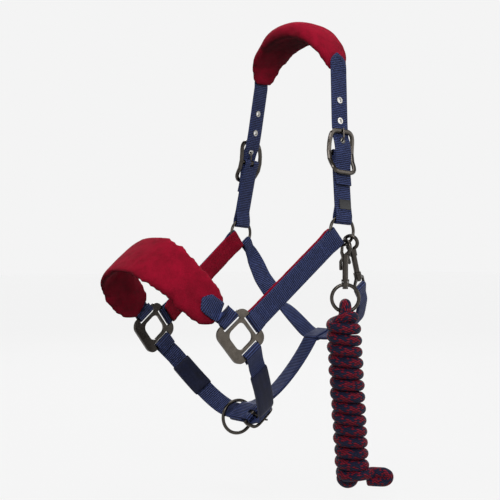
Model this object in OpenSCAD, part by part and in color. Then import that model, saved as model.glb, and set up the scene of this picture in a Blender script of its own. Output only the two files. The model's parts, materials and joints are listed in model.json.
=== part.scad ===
// Horse head halter with a padded crown and noseband, and a lead rope wound into a hank.
// The halter hangs from the poll, which is the origin. The horse faces -X and its left side is -Y.

/* [Head size] */
// Width between the centres of the two cheek rings
cheek_width = 204; // [180:1:245]
// Width between the centres of the two nose plates
nose_width = 182; // [155:1:218]
// Width between the billets where they leave the crown pad
crown_width = 156; // [130:1:187]
// Height from the poll down to the cheek rings
cheek_drop = 260; // [225:1:312]
// Distance that the cheek rings lie in front of the poll
ring_forward = 15; // [5:1:30]
// Distance forward from the cheek rings to the nose plates
cheek_run = 153; // [128:1:184]
// Height from the cheek rings down to the nose plates
cheek_fall = 125; // [105:1:150]
// Height from the poll down to the ends of the crown pad
pad_drop = 58; // [49:1:69]
// Rise of the noseband from the nose plates to the bridge of the nose
nose_rise = 126; // [105:1:151]
// Reach of the chin strap from the nose plates down to the jaw
chin_reach = 130; // [108:1:156]
// Height from the cheek rings down to the throat strap's lowest point
throat_drop = 138; // [115:1:166]
// Distance that the throat strap's lowest point lies behind the cheek rings
throat_back = 52; // [40:1:62]

/* [Webbing] */
// Width of the webbing
strap_w = 25; // [20:0.5:26]
// Thickness of one layer of webbing
web_t = 1.8; // [1.4:0.1:2.2]
// Thickness of the soft lining on the cheek straps
lining_t = 2.5; // [2:0.1:4]
// Thickness of the single billets that carry the eyelets
billet_t = 2.4; // [1.8:0.1:2.6]

/* [Pads] */
// Thickness of the crown pad over the poll
crown_pad_t = 22; // [16:1:26]
// Width of the crown pad over the poll
crown_pad_w = 64; // [50:1:76]
// Thickness of the nose pad
nose_pad_t = 9; // [7:0.5:12]
// Width of the nose pad over the bridge of the nose
nose_pad_w = 68; // [56:1:81]

/* [Hardware] */
// Inner diameter of the cheek rings
ring_id = 32; // [30:0.5:38]
// Wire diameter of the cheek rings
ring_wire = 4; // [3:0.5:4.5]
// Inner diameter of the chin ring
chin_ring_id = 38; // [36:0.5:46]
// Wire diameter of the chin ring
chin_wire = 4.4; // [3.6:0.2:5]
// Side of the square nose plates
plate_w = 52; // [50:1:62]
// Thickness of the nose plates
plate_t = 3.6; // [3:0.2:4]
// Width of the crown buckles
buckle_w = 42; // [40:1:50]
// Distance between the eyelets
eyelet_pitch = 27; // [24:1:32]

/* [Lead rope] */
// Diameter of the lead rope
rope_d = 14; // [12:0.5:14]
// Diameter of the hank
hank_d = 45; // [40:1:54]

/* [Hidden] */
$fn = 40;

fit = 0.3;             // clearance between a strap and the metal it is folded round
run_fit = 0.08;        // radial clearance of a turning fit
half_w = strap_w / 2;
X = [1, 0, 0];
Y = [0, 1, 0];
Z = [0, 0, 1];

function unit(v) = v / norm(v);
function flat_y(v) = unit([v[0], 0, v[2]]);

// Places and directions of the near side; the off side is its mirror image in Y.
RING = [-ring_forward, -cheek_width / 2, -cheek_drop];
PLATE = RING + [-cheek_run, (cheek_width - nose_width) / 2, -cheek_fall];
PAD_END = [2, -crown_width / 2, -pad_drop];
side_lean = 0.09;
U = unit(RING - PLATE);                        // along the cheek strap, towards the ring
lean_up = [-U[2], side_lean, U[0]];
V = unit(lean_up - (lean_up * U) * U);         // along the noseband, away from the plate
N = cross(U, V);                               // outwards from the cheek
S = unit(PAD_END - RING);                      // up the billet
A = unit(cross(S, N));                         // across the billet
HN = cross(A, S);                              // outwards from the billet
billet_len = norm(PAD_END - RING);

ring_r = (ring_id + ring_wire) / 2;
ring_loop_r = ring_wire / 2 + 0.7;
ring_loop_near = sqrt(pow(ring_id / 2, 2) - pow(half_w, 2)) + 2;
ring_loop_far = ring_r;

module place(o, x, y) {
    z = cross(x, y);
    multmatrix([[x[0], y[0], z[0], o[0]], [x[1], y[1], z[1], o[1]], [x[2], y[2], z[2], o[2]], [0, 0, 0, 1]])
        children();
}
module off_side() mirror([0, 1, 0]) children();

// Extrudes a side view, drawn as distance along the strap and height off it, across the width w.
module across(w) rotate([90, 0, 90]) linear_extrude(w, center = true) children();

module stadium(a, b, r) {
    translate([a, 0]) circle(r);
    translate([b, 0]) circle(r);
    if (a != b) translate([(a + b) / 2, 0]) square([abs(b - a), 2 * r], center = true);
}
// Side view of a strap's end folded round a bar that lies between a and b, and joined at c.
module fold(a, b, r, c, t = web_t) {
    difference() {
        union() {
            stadium(a, b, r + web_t);
            polygon([[b, r + web_t], [c, t], [c, -t], [b, -r - web_t]]);
        }
        stadium(a, b, r);
    }
}

function bezier(a, b, c, d, n) = [for (i = [0:n]) let (t = i / n, s = 1 - t)
    s * s * s * a + 3 * s * s * t * b + 3 * s * t * t * c + t * t * t * d];
function mix(a, b, t) = a + (b - a) * t;
function tangent(p, i) = unit(p[min(i + 1, len(p) - 1)] - p[max(i - 1, 0)]);
// The across direction at point i, made square to the path.
function squared(v, t) = unit(v - (v * t) * t);

BAND = [[-1, -1], [1, -1], [1, 1], [-1, 1]];
ROUND = [for (j = [0:9]) [cos(j * 36), sin(j * 36)]];
PILLOW = [for (j = [0:15]) let (c = cos(j * 22.5), s = sin(j * 22.5))
    [sign(c) * pow(abs(c), 0.55), sign(s) * pow(abs(s), 0.75)]];

// A closed solid with the section shape, swept through the points p. wide[i] is the across direction,
// and hw[i] and ht[i] are half the width and half the thickness there.
module sweep(p, wide, hw, ht, shape = BAND) {
    m = len(shape);
    n = len(p);
    pts = [for (i = [0:n - 1]) let (t = tangent(p, i), x = squared(wide[i], t), z = cross(x, t))
        for (c = shape) p[i] + x * hw[i] * c[0] + z * ht[i] * c[1]];
    sides = [for (i = [0:n - 2], j = [0:m - 1]) let (k = (j + 1) % m)
        [i * m + j, i * m + k, (i + 1) * m + k, (i + 1) * m + j]];
    polyhedron(pts, concat([[for (j = [m - 1:-1:0]) j]], sides,
        [[for (j = [0:m - 1]) (n - 1) * m + j]]), convexity = 6);
}
function same(v, n) = [for (i = [1:n]) v];
module ribbon(p, wide, w, t) sweep(p, wide, same(w / 2, len(p)), same(t / 2, len(p)));
module rod(p, d) sweep(p, same(unit([0.31, 0.27, 0.91]), len(p)), same(d / 2, len(p)),
    same(d / 2, len(p)), ROUND);

// ---- Crown ----
pad_end_t = 10;
pad_end_w = strap_w + 7;
pad_gap = 1;
function pad_half_t(f) = mix(pad_end_t, crown_pad_t, pow(sin(f), 1.5)) / 2;
function pad_half_w(f) = mix(pad_end_w, crown_pad_w, pow(sin(f), 1.2)) / 2;
pad_arch_w = crown_width / 2 - pad_end_t / 2 - billet_t / 2 - pad_gap;
pad_arch_h = pad_drop + crown_pad_t / 2;
function pad_point(f) = [PAD_END[0], -pad_arch_w * cos(f), -pad_drop + pad_arch_h * sin(f)];
function pad_out(f) = unit([0, -cos(f) / pad_arch_w, sin(f) / pad_arch_h]);

module crown_pad() {
    steps = [for (i = [0:24]) i * 7.5];
    color("firebrick")
        sweep([for (f = steps) pad_point(f)], same(X, len(steps)),
            [for (f = steps) pad_half_w(f)], [for (f = steps) pad_half_t(f)], PILLOW);
}

// ---- Crown buckles, in the frame of the heel strap: x across, y up the strap, z outwards ----
bar_d = 4.4;
rail_w = 6;
rail_t = 4.4;
bar_y = 99;                            // hinge bar above the ring
top_y = bar_y + 28;                    // top bar, which the tongue rests on
keep_y = bar_y - 26;                   // bottom bar, which keeps the billet's tail
bar_loop_r = bar_d / 2 + 0.4;
billet_over = bar_loop_r + web_t + billet_t / 2 + fit;
keep_z = web_t + billet_t + rail_t / 2 + 1.4;
top_z = billet_t / 2 + rail_t / 2 + 1;
frame_z = [[keep_y, keep_z], [keep_y + 6, keep_z * 0.85], [bar_y - 8, 0.7], [bar_y, 0], [bar_y + 8, 0.5],
    [top_y - 5, top_z * 0.85], [top_y, top_z]];
tongue_y = bar_y + 15;                 // eyelet that the tongue goes through

function bent(v, k) = sign(v) * pow(abs(v), k);
// A closed frame of flat rod: a rectangle with rounded corners, half hw wide, from y0 to y1,
// whose height off the strap at each y comes from the table heights.
module ring_frame(hw, y0, y1, heights, w, t, n = 44) {
    m = 8;
    function at(i) = let (f = i * 360 / n, y = (y0 + y1) / 2 + (y1 - y0) / 2 * bent(sin(f), 0.5))
        [hw * bent(cos(f), 0.42), y, lookup(y, heights)];
    pts = [for (i = [0:n - 1]) let (d = unit(at(i + 1) - at(i - 1)), x = unit(cross(d, Z)), z = cross(x, d))
        for (j = [0:m - 1]) at(i) + x * (w / 2) * bent(cos(j * 45 + 22.5), 0.8)
            + z * (t / 2) * bent(sin(j * 45 + 22.5), 0.8)];
    polyhedron(pts, [for (i = [0:n - 1], j = [0:m - 1]) let (a = (i + 1) % n, b = (j + 1) % m)
        [i * m + j, i * m + b, a * m + b, a * m + j]], convexity = 6);
}
module cross_bar(hw, y, d) translate([0, y, 0]) rotate([0, 90, 0]) cylinder(h = 2 * hw, d = d, center = true);

module buckle_frame() {
    hw = (buckle_w - rail_w) / 2;
    color("dimgray") {
        ring_frame(hw, keep_y, top_y, frame_z, rail_w, rail_t);
        cross_bar(hw, bar_y, bar_d);
    }
}
tongue_d = 2.4;
tongue_w = 4.4;
module tongue(y0, rise_y, rest_y, rest_z, bar) {
    pts = [[0, y0 + bar / 2 + 0.9, 0.3], [0, rise_y - 5, 0.8], [0, rise_y - 1.4, 1.4],
        [0, rise_y - 0.2, 3.9], [0, rise_y + 1.2, rest_z - 1.2], [0, rise_y + 4, rest_z], [0, rest_y, rest_z], [0, rest_y + 3, rest_z - 0.4]];
    color("gray") {
        rod(pts, tongue_d);
        difference() {
            cross_bar(tongue_w / 2, y0, bar + 3.2);
            cross_bar(tongue_w, y0, bar + 2 * run_fit);
        }
    }
}
module buckle_tongue()
    tongue(bar_y, tongue_y, top_y, top_z + rail_t / 2 + tongue_d / 2 + 0.15, bar_d);

// Route of the billet in the heel strap's frame, from its tail up to where it is straight.
billet_route = [[bar_y - 42, 5.6], [bar_y - 35, 4.3], [keep_y, web_t + billet_t / 2 + 0.75],
    [bar_y - 15, web_t + billet_t / 2 + 1.2], [bar_y - 7, billet_over - 0.3], [bar_y, billet_over],
    [bar_y + 6, billet_over - 0.4], [tongue_y, 3.7], [bar_y + 21, 1.3], [top_y + 4, 0.3], [top_y + 14, 0]];
function in_heel(y, z) = RING + y * S + z * HN;
billet_lap = 15;                       // degrees of the crown pad that a billet is sewn over
billet_top = [for (f = [0:7.5:billet_lap])
    pad_point(f) + pad_out(f) * (pad_half_t(f) + billet_t / 2 + pad_gap)];
billet_points = concat([for (r = billet_route) in_heel(r[0], r[1])],
    [for (y = [top_y + 28, billet_len - 22]) in_heel(y, 0)], billet_top);

eyelet_r = 2.6;
eyelet_wall = 0.5;
eyelet_rim = 4.1;
rim_t = 0.5;
eyelets_at = [[tongue_y, 3.7, -13.5], [tongue_y + eyelet_pitch, 0, 0], [tongue_y + 2 * eyelet_pitch, 0, 0]];
module at_eyelets() for (e = eyelets_at) translate([0, e[0], e[1]]) rotate([e[2], 0, 0]) children();
module eyelet(t) {
    rotate_extrude() translate([eyelet_r, 0]) {
        translate([0, -t / 2 - rim_t]) square([eyelet_wall, t + 2 * rim_t]);
        for (s = [-1, 1]) translate([0, s * (t / 2 + rim_t / 2 + 0.02) - rim_t / 2])
            square([eyelet_rim - eyelet_r, rim_t]);
    }
}
module billet() {
    color("midnightblue") difference() {
        ribbon(billet_points, same(A, len(billet_points)), strap_w, billet_t);
        place(RING, A, S) at_eyelets() cylinder(h = 12, r = eyelet_r + eyelet_wall + 0.05, center = true);
    }
}
module eyelets() color("silver") place(RING, A, S) at_eyelets() eyelet(billet_t);

ring_up = squared(S, N);               // up the heel strap, in the plane of the ring
heel_foot = RING + (ring_loop_far + 12) * ring_up;
heel_head = in_heel(bar_y - 12, 0);
heel_up = unit(heel_head - heel_foot);
module heel_strap() {
    color("midnightblue") {
        place(RING, cross(ring_up, N), ring_up) across(strap_w)
            fold(ring_loop_near, ring_loop_far, ring_loop_r, ring_loop_far + 12);
        ribbon([heel_foot - 0.5 * ring_up, heel_foot + 3 * heel_up, heel_head - 3 * heel_up, heel_head + 0.5 * S],
            same(A, 4), strap_w - 0.2, 2 * web_t - 0.2);
        place(RING, A, S) difference() {
            across(strap_w) fold(bar_y, bar_y, bar_loop_r, bar_y - 12);
            translate([0, bar_y + 1, 0]) cube([tongue_w + 1.2, 13, 16], center = true);
        }
    }
}
tab_w = 18;
tab_h = 12;
tab_t = 1.2;
module heel_tab() {
    color("black") place(heel_foot, squared(A, heel_up), heel_up)
        translate([2, tab_h / 2 + 3, web_t + tab_t / 2]) cube([tab_w, tab_h, tab_t], center = true);
}

// ---- Cheeks and nose plates, in the plate's frame: x along the cheek strap, y along the noseband ----
plate_half = plate_w / 2;
plate_bar = 3.6;
slot_in = 17;
slot_out = plate_half - plate_bar;
slot_len = strap_w + 2;
plate_loop_r = 2.8;
plate_loop_at = plate_half - plate_bar / 2;
join_at = plate_loop_at + 12;

module rounded_square(side, r) {
    for (q = [0:90:270]) rotate(q) translate([side / 2 - r, side / 2 - r]) circle(r);
    square([side, side - 2 * r], center = true);
    square([side - 2 * r, side], center = true);
}
module slot_2d() translate([(slot_in + slot_out) / 2, 0]) square([slot_out - slot_in, slot_len], center = true);
module nose_plate() {
    color("dimgray") place(PLATE, U, V) linear_extrude(plate_t, center = true) difference() {
        rounded_square(plate_w, 11);
        rounded_square(27, 8);
        for (q = [0, 90, -90]) rotate(q) slot_2d();
    }
}
module cheek_ring() {
    color("dimgray") place(RING, U, V) rotate_extrude($fn = 72) translate([ring_r, 0]) circle(d = ring_wire);
}
cheek_len = norm(RING - PLATE);
module cheek_strap() {
    color("midnightblue") place(PLATE, cross(U, N), U) across(strap_w) {
        fold(plate_loop_at, plate_loop_at, plate_loop_r, join_at);
        translate([join_at, -web_t]) square([cheek_len - ring_loop_far - 12 - join_at, 2 * web_t]);
        translate([cheek_len, 0]) mirror([1, 0])
            fold(ring_loop_near, ring_loop_far, ring_loop_r, ring_loop_far + 12);
    }
}
module cheek_lining() {
    run = cheek_len - ring_loop_far - 12 - join_at;
    color("firebrick") place(PLATE, cross(U, N), U)
        translate([0, join_at + run / 2, -web_t - lining_t / 2 - 0.1]) cube([strap_w + 3, run, lining_t], center = true);
}

// ---- Noseband ----
nose_sway = 12;                        // how far the noseband swings forward of the plates' own line
nose_in = web_t + fit + nose_pad_t / 2;
nose_flat = flat_y(V);
NOSE_TOP = [PLATE[0], 0, PLATE[2]] + nose_rise * nose_flat;
function nose_half_w(s) = lookup(s, [[0, 15], [0.1, 23], [0.22, 29], [0.5, 31], [1, nose_pad_w / 2]]);
nose_start = PLATE + 32 * V - nose_in * N;
nose_curve = bezier(nose_start, nose_start + 62 * unit(V - 0.06 * Y),
    NOSE_TOP - [0, nose_width * 0.34, 0], NOSE_TOP, 14);
function swayed(p, s) = p - flat_y(U) * nose_sway * lookup(s, [[0, 0], [0.12, 0.7], [0.3, 1], [0.55, 0.9], [1, 0.2]]);
nose_half_points = [for (i = [0:14]) swayed(nose_curve[i], i / 14)];
function soften(p, k) = k == 0 ? p : soften(concat([p[0]], [for (i = [0:len(p) - 2])
    each [mix(p[i], p[i + 1], 0.25), mix(p[i], p[i + 1], 0.75)]], [p[len(p) - 1]]), k - 1);
function mirrored(p) = [for (i = [len(p) - 2:-1:0]) [p[i][0], -p[i][1], p[i][2]]];
module nose_pad() {
    p = concat(nose_half_points, mirrored(nose_half_points));
    s = [for (i = [0:28]) 1 - abs(i - 14) / 14];
    color("firebrick") sweep(p, same(flat_y(U), len(p)), [for (k = s) nose_half_w(k)],
        same(nose_pad_t / 2, len(p)), PILLOW);
}
// The tab is folded round the plate's bar and sewn over the end of the nose pad.
tab_steps = 4;
function tab_point(i) = let (p = nose_half_points[i], t = tangent(nose_half_points, i))
    p + cross(squared(flat_y(U), t), t) * (nose_pad_t / 2 + web_t / 2 + 2 * fit);
module nose_tab() {
    lower = PLATE + (join_at - 4) * V;
    p = concat([lower - 1 * V, mix(lower, tab_point(1), 0.5)], [for (i = [1:tab_steps]) tab_point(i)]);
    wide = concat(same(-cross(V, N), 2), same(flat_y(U), tab_steps));
    color("midnightblue") {
        place(PLATE, cross(V, N), V) across(strap_w)
            fold(plate_loop_at, plate_loop_at, plate_loop_r, join_at - 4, web_t / 2);
        sweep(p, wide, [for (i = [0:len(p) - 1]) i == len(p) - 1 ? 3 : i == len(p) - 2 ? half_w - 1 : half_w],
            same(web_t / 2, len(p)));
    }
}

// ---- Chin, in the chin's frame: x along the jaw, y towards the near side, z down and out ----
DOWN = -flat_y(V);
CHIN = [PLATE[0], 0, PLATE[2]] + chin_reach * DOWN - 8 * flat_y(U);
chin_x = cross(-Y, DOWN);
chin_bar_d = 3.6;
chin_bar_y = 20;
chin_end_y = chin_bar_y + 21;
chin_loop_r = chin_bar_d / 2 + 0.4;
chin_t = 2.6;                          // thickness of the single chin straps
chin_over = chin_loop_r + web_t + chin_t / 2 + fit;
chin_rail_t = 3.4;
chin_end_z = chin_t / 2 + chin_rail_t / 2 + 0.8;
chin_tongue_y = chin_bar_y + 11;
function in_chin(y, z) = CHIN - y * Y + z * DOWN;
chin_bar = PLATE - plate_loop_at * V;
near_bend = chin_end_y + 5;
near_dir = squared(in_chin(near_bend + 4, 0) - chin_bar, U);
far_dir = unit(-V - 0.3 * N);
near_leg = bezier(chin_bar + 11.5 * near_dir, chin_bar + 60 * near_dir, in_chin(near_bend + 7, -2),
    in_chin(near_bend - 3, 0), 12);
near_route = [[chin_end_y, 0.1], [chin_tongue_y + 4, 1.6], [chin_tongue_y, 3.2], [chin_bar_y + 5, chin_over - 0.5],
    [chin_bar_y, chin_over], [chin_bar_y - 7, chin_over - 0.6]];
near_points = concat(near_leg, [for (r = near_route) in_chin(r[0], r[1])]);
chin_eyelets_at = [[chin_tongue_y, 3.2, -18]];
module at_chin_eyelets()
    for (e = chin_eyelets_at) translate([0, e[0], e[1]]) rotate([e[2], 0, 0]) children();

module plate_fold(dir) place(chin_bar, U, dir) across(strap_w)
    fold(0, 0, plate_loop_r, 12, chin_t / 2);
function leg_wide(n) = concat(same(U, 2), same(chin_x, n - 2));
module left_chin_strap() {
    color("midnightblue") {
        plate_fold(near_dir);
        difference() {
            ribbon(near_points, leg_wide(len(near_points)), strap_w, chin_t);
            place(CHIN, chin_x, -Y) at_chin_eyelets()
                cylinder(h = 12, r = eyelet_r + eyelet_wall + 0.05, center = true);
        }
    }
}
module chin_eyelets() color("silver") place(CHIN, chin_x, -Y) at_chin_eyelets() eyelet(chin_t);

// Drawn on the near side and mirrored: the plain leg that ends at the middle of the jaw.
wrap_half = 12.5;
far_leg = bezier(chin_bar + 11.5 * far_dir, chin_bar + 62 * far_dir, in_chin(wrap_half + 42, 1),
    in_chin(wrap_half + 4, 0), 12);
module right_chin_strap() {
    color("midnightblue") {
        off_side() plate_fold(far_dir);
        off_side() ribbon(far_leg, leg_wide(len(far_leg)), strap_w, chin_t);
        place(CHIN, chin_x, -Y) difference() {
            across(strap_w) {
                translate([chin_bar_y, 0]) mirror([1, 0]) fold(0, 0, chin_loop_r, 8, chin_t / 2);
                translate([-wrap_half - 5, -chin_t / 2]) square([chin_bar_y - 8 + wrap_half + 5.1, chin_t]);
            }
            translate([0, chin_bar_y + 1, 0]) cube([tongue_w + 1.2, 11, 14], center = true);
        }
    }
}
sleeve_gap = 0.25;
sleeve_wall = 1.2;
module sleeve(leg, i0, i1) {
    p = [for (i = [i0:i1]) leg[i]];
    wide = same(chin_x, len(p));
    color("navy") difference() {
        ribbon(p, wide, strap_w + 2 * (sleeve_gap + sleeve_wall), chin_t + 2 * (sleeve_gap + sleeve_wall));
        ribbon([for (i = [i0 - 1:i1 + 1]) leg[i]], same(chin_x, len(p) + 2),
            strap_w + 2 * sleeve_gap, chin_t + 2 * sleeve_gap);
    }
}
module left_chin_sleeve() sleeve(near_leg, 2, 9);
module right_chin_sleeve() off_side() sleeve(far_leg, 2, 6);

module chin_buckle_frame() {
    color("darkgray") place(CHIN, chin_x, -Y) {
        difference() {
            ring_frame(half_w + 4.5, chin_bar_y, chin_end_y, [[chin_bar_y, 0], [chin_bar_y + 8, 0.6],
                [chin_end_y - 4, chin_end_z * 0.9], [chin_end_y, chin_end_z]], 4.4, chin_rail_t);
            translate([0, chin_bar_y, 0]) cube([strap_w + 2, 9, 12], center = true);
        }
        cross_bar(half_w + 4, chin_bar_y, chin_bar_d);
    }
}
module chin_buckle_tongue() place(CHIN, chin_x, -Y)
    tongue(chin_bar_y, chin_tongue_y, chin_end_y, chin_end_z + chin_rail_t / 2 + tongue_d / 2 + 0.15, chin_bar_d);

// ---- Throat and jowl straps ----
THROAT = [RING[0] + throat_back, 0, RING[2] - throat_drop];
throat_down = unit(THROAT - [RING[0], 0, RING[2]]);
throat_x = cross(-Y, throat_down);
throat_t = 2 * web_t;

// The jaw end of the jowl strap wraps the chin strap, and its other end wraps the throat strap.
wrap_gap = 0.3;
module around(t) square([strap_w + 2 * (wrap_gap + t), 2 * web_t + 2 * (wrap_gap + t)], center = true);
module seat_2d(o, x) translate([o[0], o[2]]) rotate(atan2(x[2], x[0])) children();
module jowl_strap() {
    wrap_end = half_w + wrap_gap + web_t / 2 + 0.1;
    from = THROAT - wrap_end * throat_x;
    to = CHIN + wrap_end * chin_x;
    slack = norm(to - from);
    curve = bezier(from, from + 0.3 * slack * [-0.55, 0, -0.83], to + 0.24 * slack * [0.97, 0, -0.2], to, 14);
    color("midnightblue") {
        ribbon(curve, same(Y, len(curve)), strap_w, 2 * web_t);
        rotate([90, 0, 0]) linear_extrude(2 * wrap_half, center = true) {
            seat_2d(CHIN, chin_x) difference() {
                around(web_t);
                around(0);
            }
            seat_2d(THROAT, throat_x) difference() {
                around(web_t);
                around(0);
            }
        }
    }
}
function from_ring(turn) = let (x = squared(X, N), z = cross(x, N)) x * cos(turn) + (z[2] > 0 ? z : -z) * sin(turn);
throat_turn = -52;                     // where the throat strap meets the far ring, from straight back
THROAT_OUT = from_ring(throat_turn);
throat_start = RING + (ring_loop_far + 12) * THROAT_OUT;
// A point of the throat strap: how far back, how far out and how far down, each as a fraction.
function throat_at(f) = [RING[0] + throat_back * f[0], RING[1] * f[1], RING[2] - throat_drop * f[2]];
throat_foot = THROAT - [0, wrap_half + 2, 0];
throat_far = soften(concat([throat_start - THROAT_OUT, throat_start + 12 * THROAT_OUT],
    [for (f = [[0.57, 0.88, 0.46], [0.76, 0.7, 0.66], [0.88, 0.46, 0.81], [0.97, 0.24, 0.95]]) throat_at(f)],
    [throat_foot - 5 * Y, throat_foot]), 2);

// The throat snap hangs from the ring's lower back and leans back with the strap.
snap_bar = 61;                         // strap bar below the hook's centre
THROAT_HOOK = RING + ring_r * from_ring(-41) + [0.5, 0.3, -2.6];
snap_axis = unit([-21, -5, 57]);
snap_side = squared([0.9, 0.38, 0.22], snap_axis);
THROAT_BAR = THROAT_HOOK - snap_bar * snap_axis;
bar_loop = [2.5, 11];
near_start = THROAT_BAR - bar_loop[1] * snap_axis;
throat_near = soften(concat([near_start + snap_axis, near_start - 8 * snap_axis],
    [for (f = [[0.88, 0.84, 0.82], [0.93, 0.58, 0.96], [0.98, 0.3, 0.995]]) throat_at(f)],
    [throat_foot - 5 * Y, throat_foot]), 2);
function turned(n, from, to) = [for (i = [0:n]) mix(from, to, i / n)];
module throat_strap() {
    back = [for (i = [len(throat_near) - 1:-1:0]) throat_near[i]];
    color("midnightblue") {
        off_side() place(RING, cross(THROAT_OUT, N), THROAT_OUT) difference() {
            across(strap_w) fold(ring_loop_near, ring_loop_far, ring_loop_r, ring_loop_far + 12);
            translate([half_w - 2, 8.5, 0]) cube([10, 11, 14], center = true);   // clear of the cheek strap
        }
        off_side() ribbon(throat_far, turned(len(throat_far) - 1, cross(THROAT_OUT, N), throat_x), strap_w, throat_t);
        place(THROAT, throat_x, -Y) across(strap_w)
            square([2 * wrap_half + 4.2, throat_t], center = true);
        ribbon(back, turned(len(back) - 1, throat_x, snap_side), strap_w, throat_t);
        place(THROAT_BAR, snap_side, -snap_axis) across(strap_w) fold(0, 0, bar_loop[0], bar_loop[1]);
    }
}

// ---- Snaps, with the hook's centre at the origin, the shank down -Z and the gate on the +Y side ----
hook_r = 8.5;
hook_wire = 4.8;
waist_d = 9.6;
pivot_y = 2;
pivot_z = -13;
shank_d = 7.2;
collar_z = -43;
boss_top = collar_z - 0.4;
boss_h = 6;
post_d = 4;
gate_w = 2.4;
gate_slot = 4.6;
pin_d = 2.2;
module yz() rotate([90, 0, 90]) children();
module snap_body() {
    color("dimgray") difference() {
        union() {
            yz() rotate(24) rotate_extrude(angle = 246) translate([hook_r, 0]) circle(d = hook_wire);
            yz() rotate(24) translate([hook_r, 0]) sphere(d = hook_wire);
            translate([0, 0, -18]) cylinder(h = 9.5, d = waist_d);
            translate([0, 0, collar_z]) cylinder(h = -18 - collar_z + 1, d = shank_d);
            translate([0, 0, collar_z]) cylinder(h = 3, d = 10);
            translate([0, 0, boss_top - boss_h - 2.6]) cylinder(h = boss_h + 3.4, d = post_d);
            translate([0, 0, boss_top - boss_h - 2.6]) cylinder(h = 2.3, d = 7);
        }
        translate([-gate_slot / 2, -1.6, -18.6]) cube([gate_slot, 12, 13.4]);
        translate([0, pivot_y, pivot_z]) rotate([0, 90, 0]) cylinder(h = 30, d = pin_d + 0.04, center = true);
    }
}
gate_x = -0.9;                         // the spring sits beside the gate in the slot
module limb(a, b, ra, rb) hull() {
    translate(a) circle(ra, $fn = 24);
    translate(b) circle(rb, $fn = 24);
}
module snap_gate() {
    color("gray") translate([gate_x, 0, 0]) yz() linear_extrude(gate_w, center = true) difference() {
        union() {
            limb([pivot_y, pivot_z], [5.4, -6.5], 2.5, 1.7);
            limb([5.4, -6.5], [4.6, 1.1], 1.7, 1.4);
            limb([pivot_y, pivot_z], [7.4, -18], 2.5, 1.5);
            limb([7.4, -18], [7.0, -27], 1.5, 1.7);
        }
        translate([pivot_y, pivot_z]) circle(d = pin_d + 2 * run_fit);
    }
}
module snap_pin() {
    color("silver") translate([0, pivot_y, pivot_z]) rotate([0, 90, 0]) cylinder(h = waist_d - 0.6, d = pin_d, center = true);
}
module snap_spring() {
    turns = 2.2;
    wire = 0.5;
    p = [for (i = [0:26]) let (f = i * 360 * turns / 26)
        [0.65 + i / 26 * 1.2, pivot_y + 1.75 * cos(f), pivot_z + 1.75 * sin(f)]];
    color("silver") sweep(p, same(X, len(p)), same(wire / 2, len(p)), same(wire / 2, len(p)),
        [for (j = [0:5]) [cos(j * 60), sin(j * 60)]]);
}
module eye_boss() difference() {
    children();
    translate([0, 0, boss_top - boss_h / 2]) cylinder(h = boss_h + 6, d = post_d + 2 * run_fit, center = true);
}
eye_r = 17;
eye_wire = 4.6;
eye_z = boss_top - boss_h / 2 - eye_r;
eye_turn = 38;                         // the eye faces outwards and forwards
module lead_eye() {
    color("dimgray") eye_boss() {
        rotate(90 - eye_turn) translate([0, 0, eye_z]) rotate([0, 90, 0])
            rotate_extrude($fn = 64) translate([eye_r, 0]) circle(d = eye_wire);
        translate([0, 0, boss_top - boss_h]) cylinder(h = boss_h, d = 9.6);
    }
}
// The eye of the throat snap is a flat loop for the strap; its bar lies along the hook's X.
module strap_eye() {
    half = half_w + 2.6;
    color("dimgray") eye_boss() {
        translate([0, 0, boss_top - boss_h]) cylinder(h = boss_h, d = 9.6);
        rotate([90, 0, 0]) linear_extrude(2.8, center = true) difference() {
            polygon([[-5, boss_top - 0.6], [5, boss_top - 0.6], [half, boss_top - 8], [half, -snap_bar - 1.5],
                [-half, -snap_bar - 1.5], [-half, boss_top - 8]]);
            polygon([[-4.6, boss_top - boss_h], [4.6, boss_top - boss_h], [half - 2.4, boss_top - boss_h - 4],
                [half - 2.4, -snap_bar + 1.5], [2.4 - half, -snap_bar + 1.5], [2.4 - half, boss_top - boss_h - 4]]);
        }
    }
}
module at_throat_snap() place(THROAT_HOOK, snap_side, cross(snap_axis, snap_side)) children();
lead_turn = -75;                       // where the lead snap hangs on the ring, from straight back
LEAD_WIRE = RING + ring_r * from_ring(lead_turn);
LEAD_HOOK = LEAD_WIRE - [0, 0, hook_r - hook_wire / 2 - ring_wire / 2 - 0.4];
module at_lead_snap() translate(LEAD_HOOK) children();

// ---- Chin ring ----
chin_ring_r = (chin_ring_id + chin_wire) / 2;
chin_ring_y = -20;                     // beside the jowl strap's loop, towards the off side
chin_ring_hang = sqrt(pow(chin_ring_id / 2 - 0.4, 2) - pow(half_w, 2)) - chin_t / 2 - 0.6;
chin_ring_yaw = -10;
module chin_ring() {
    color("dimgray") translate(in_chin(chin_ring_y, chin_ring_hang)) rotate([0, 0, chin_ring_yaw])
        rotate([90, 0, 0]) rotate_extrude($fn = 72) translate([chin_ring_r, 0]) circle(d = chin_wire);
}

// ---- Lead rope, placed from the lead snap's hook. Points are chosen by hand. ----
LOOK = [sin(eye_turn), cos(eye_turn), 0];      // square to the eye, from outside to inside
SIDE = [cos(eye_turn), -sin(eye_turn), 0];     // along the eye
hank_len = 200;
HANK_TOP = LEAD_HOOK + [-3, 1, eye_z - eye_r - 9];
hank_axis = unit([-16, 1, 198]);
HANK_FOOT = HANK_TOP - hank_len * hank_axis;
loop_r = (rope_d + eye_wire) / 2 + 0.4;
EYE_FOOT = LEAD_HOOK + [0, 0, eye_z - eye_r];
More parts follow.
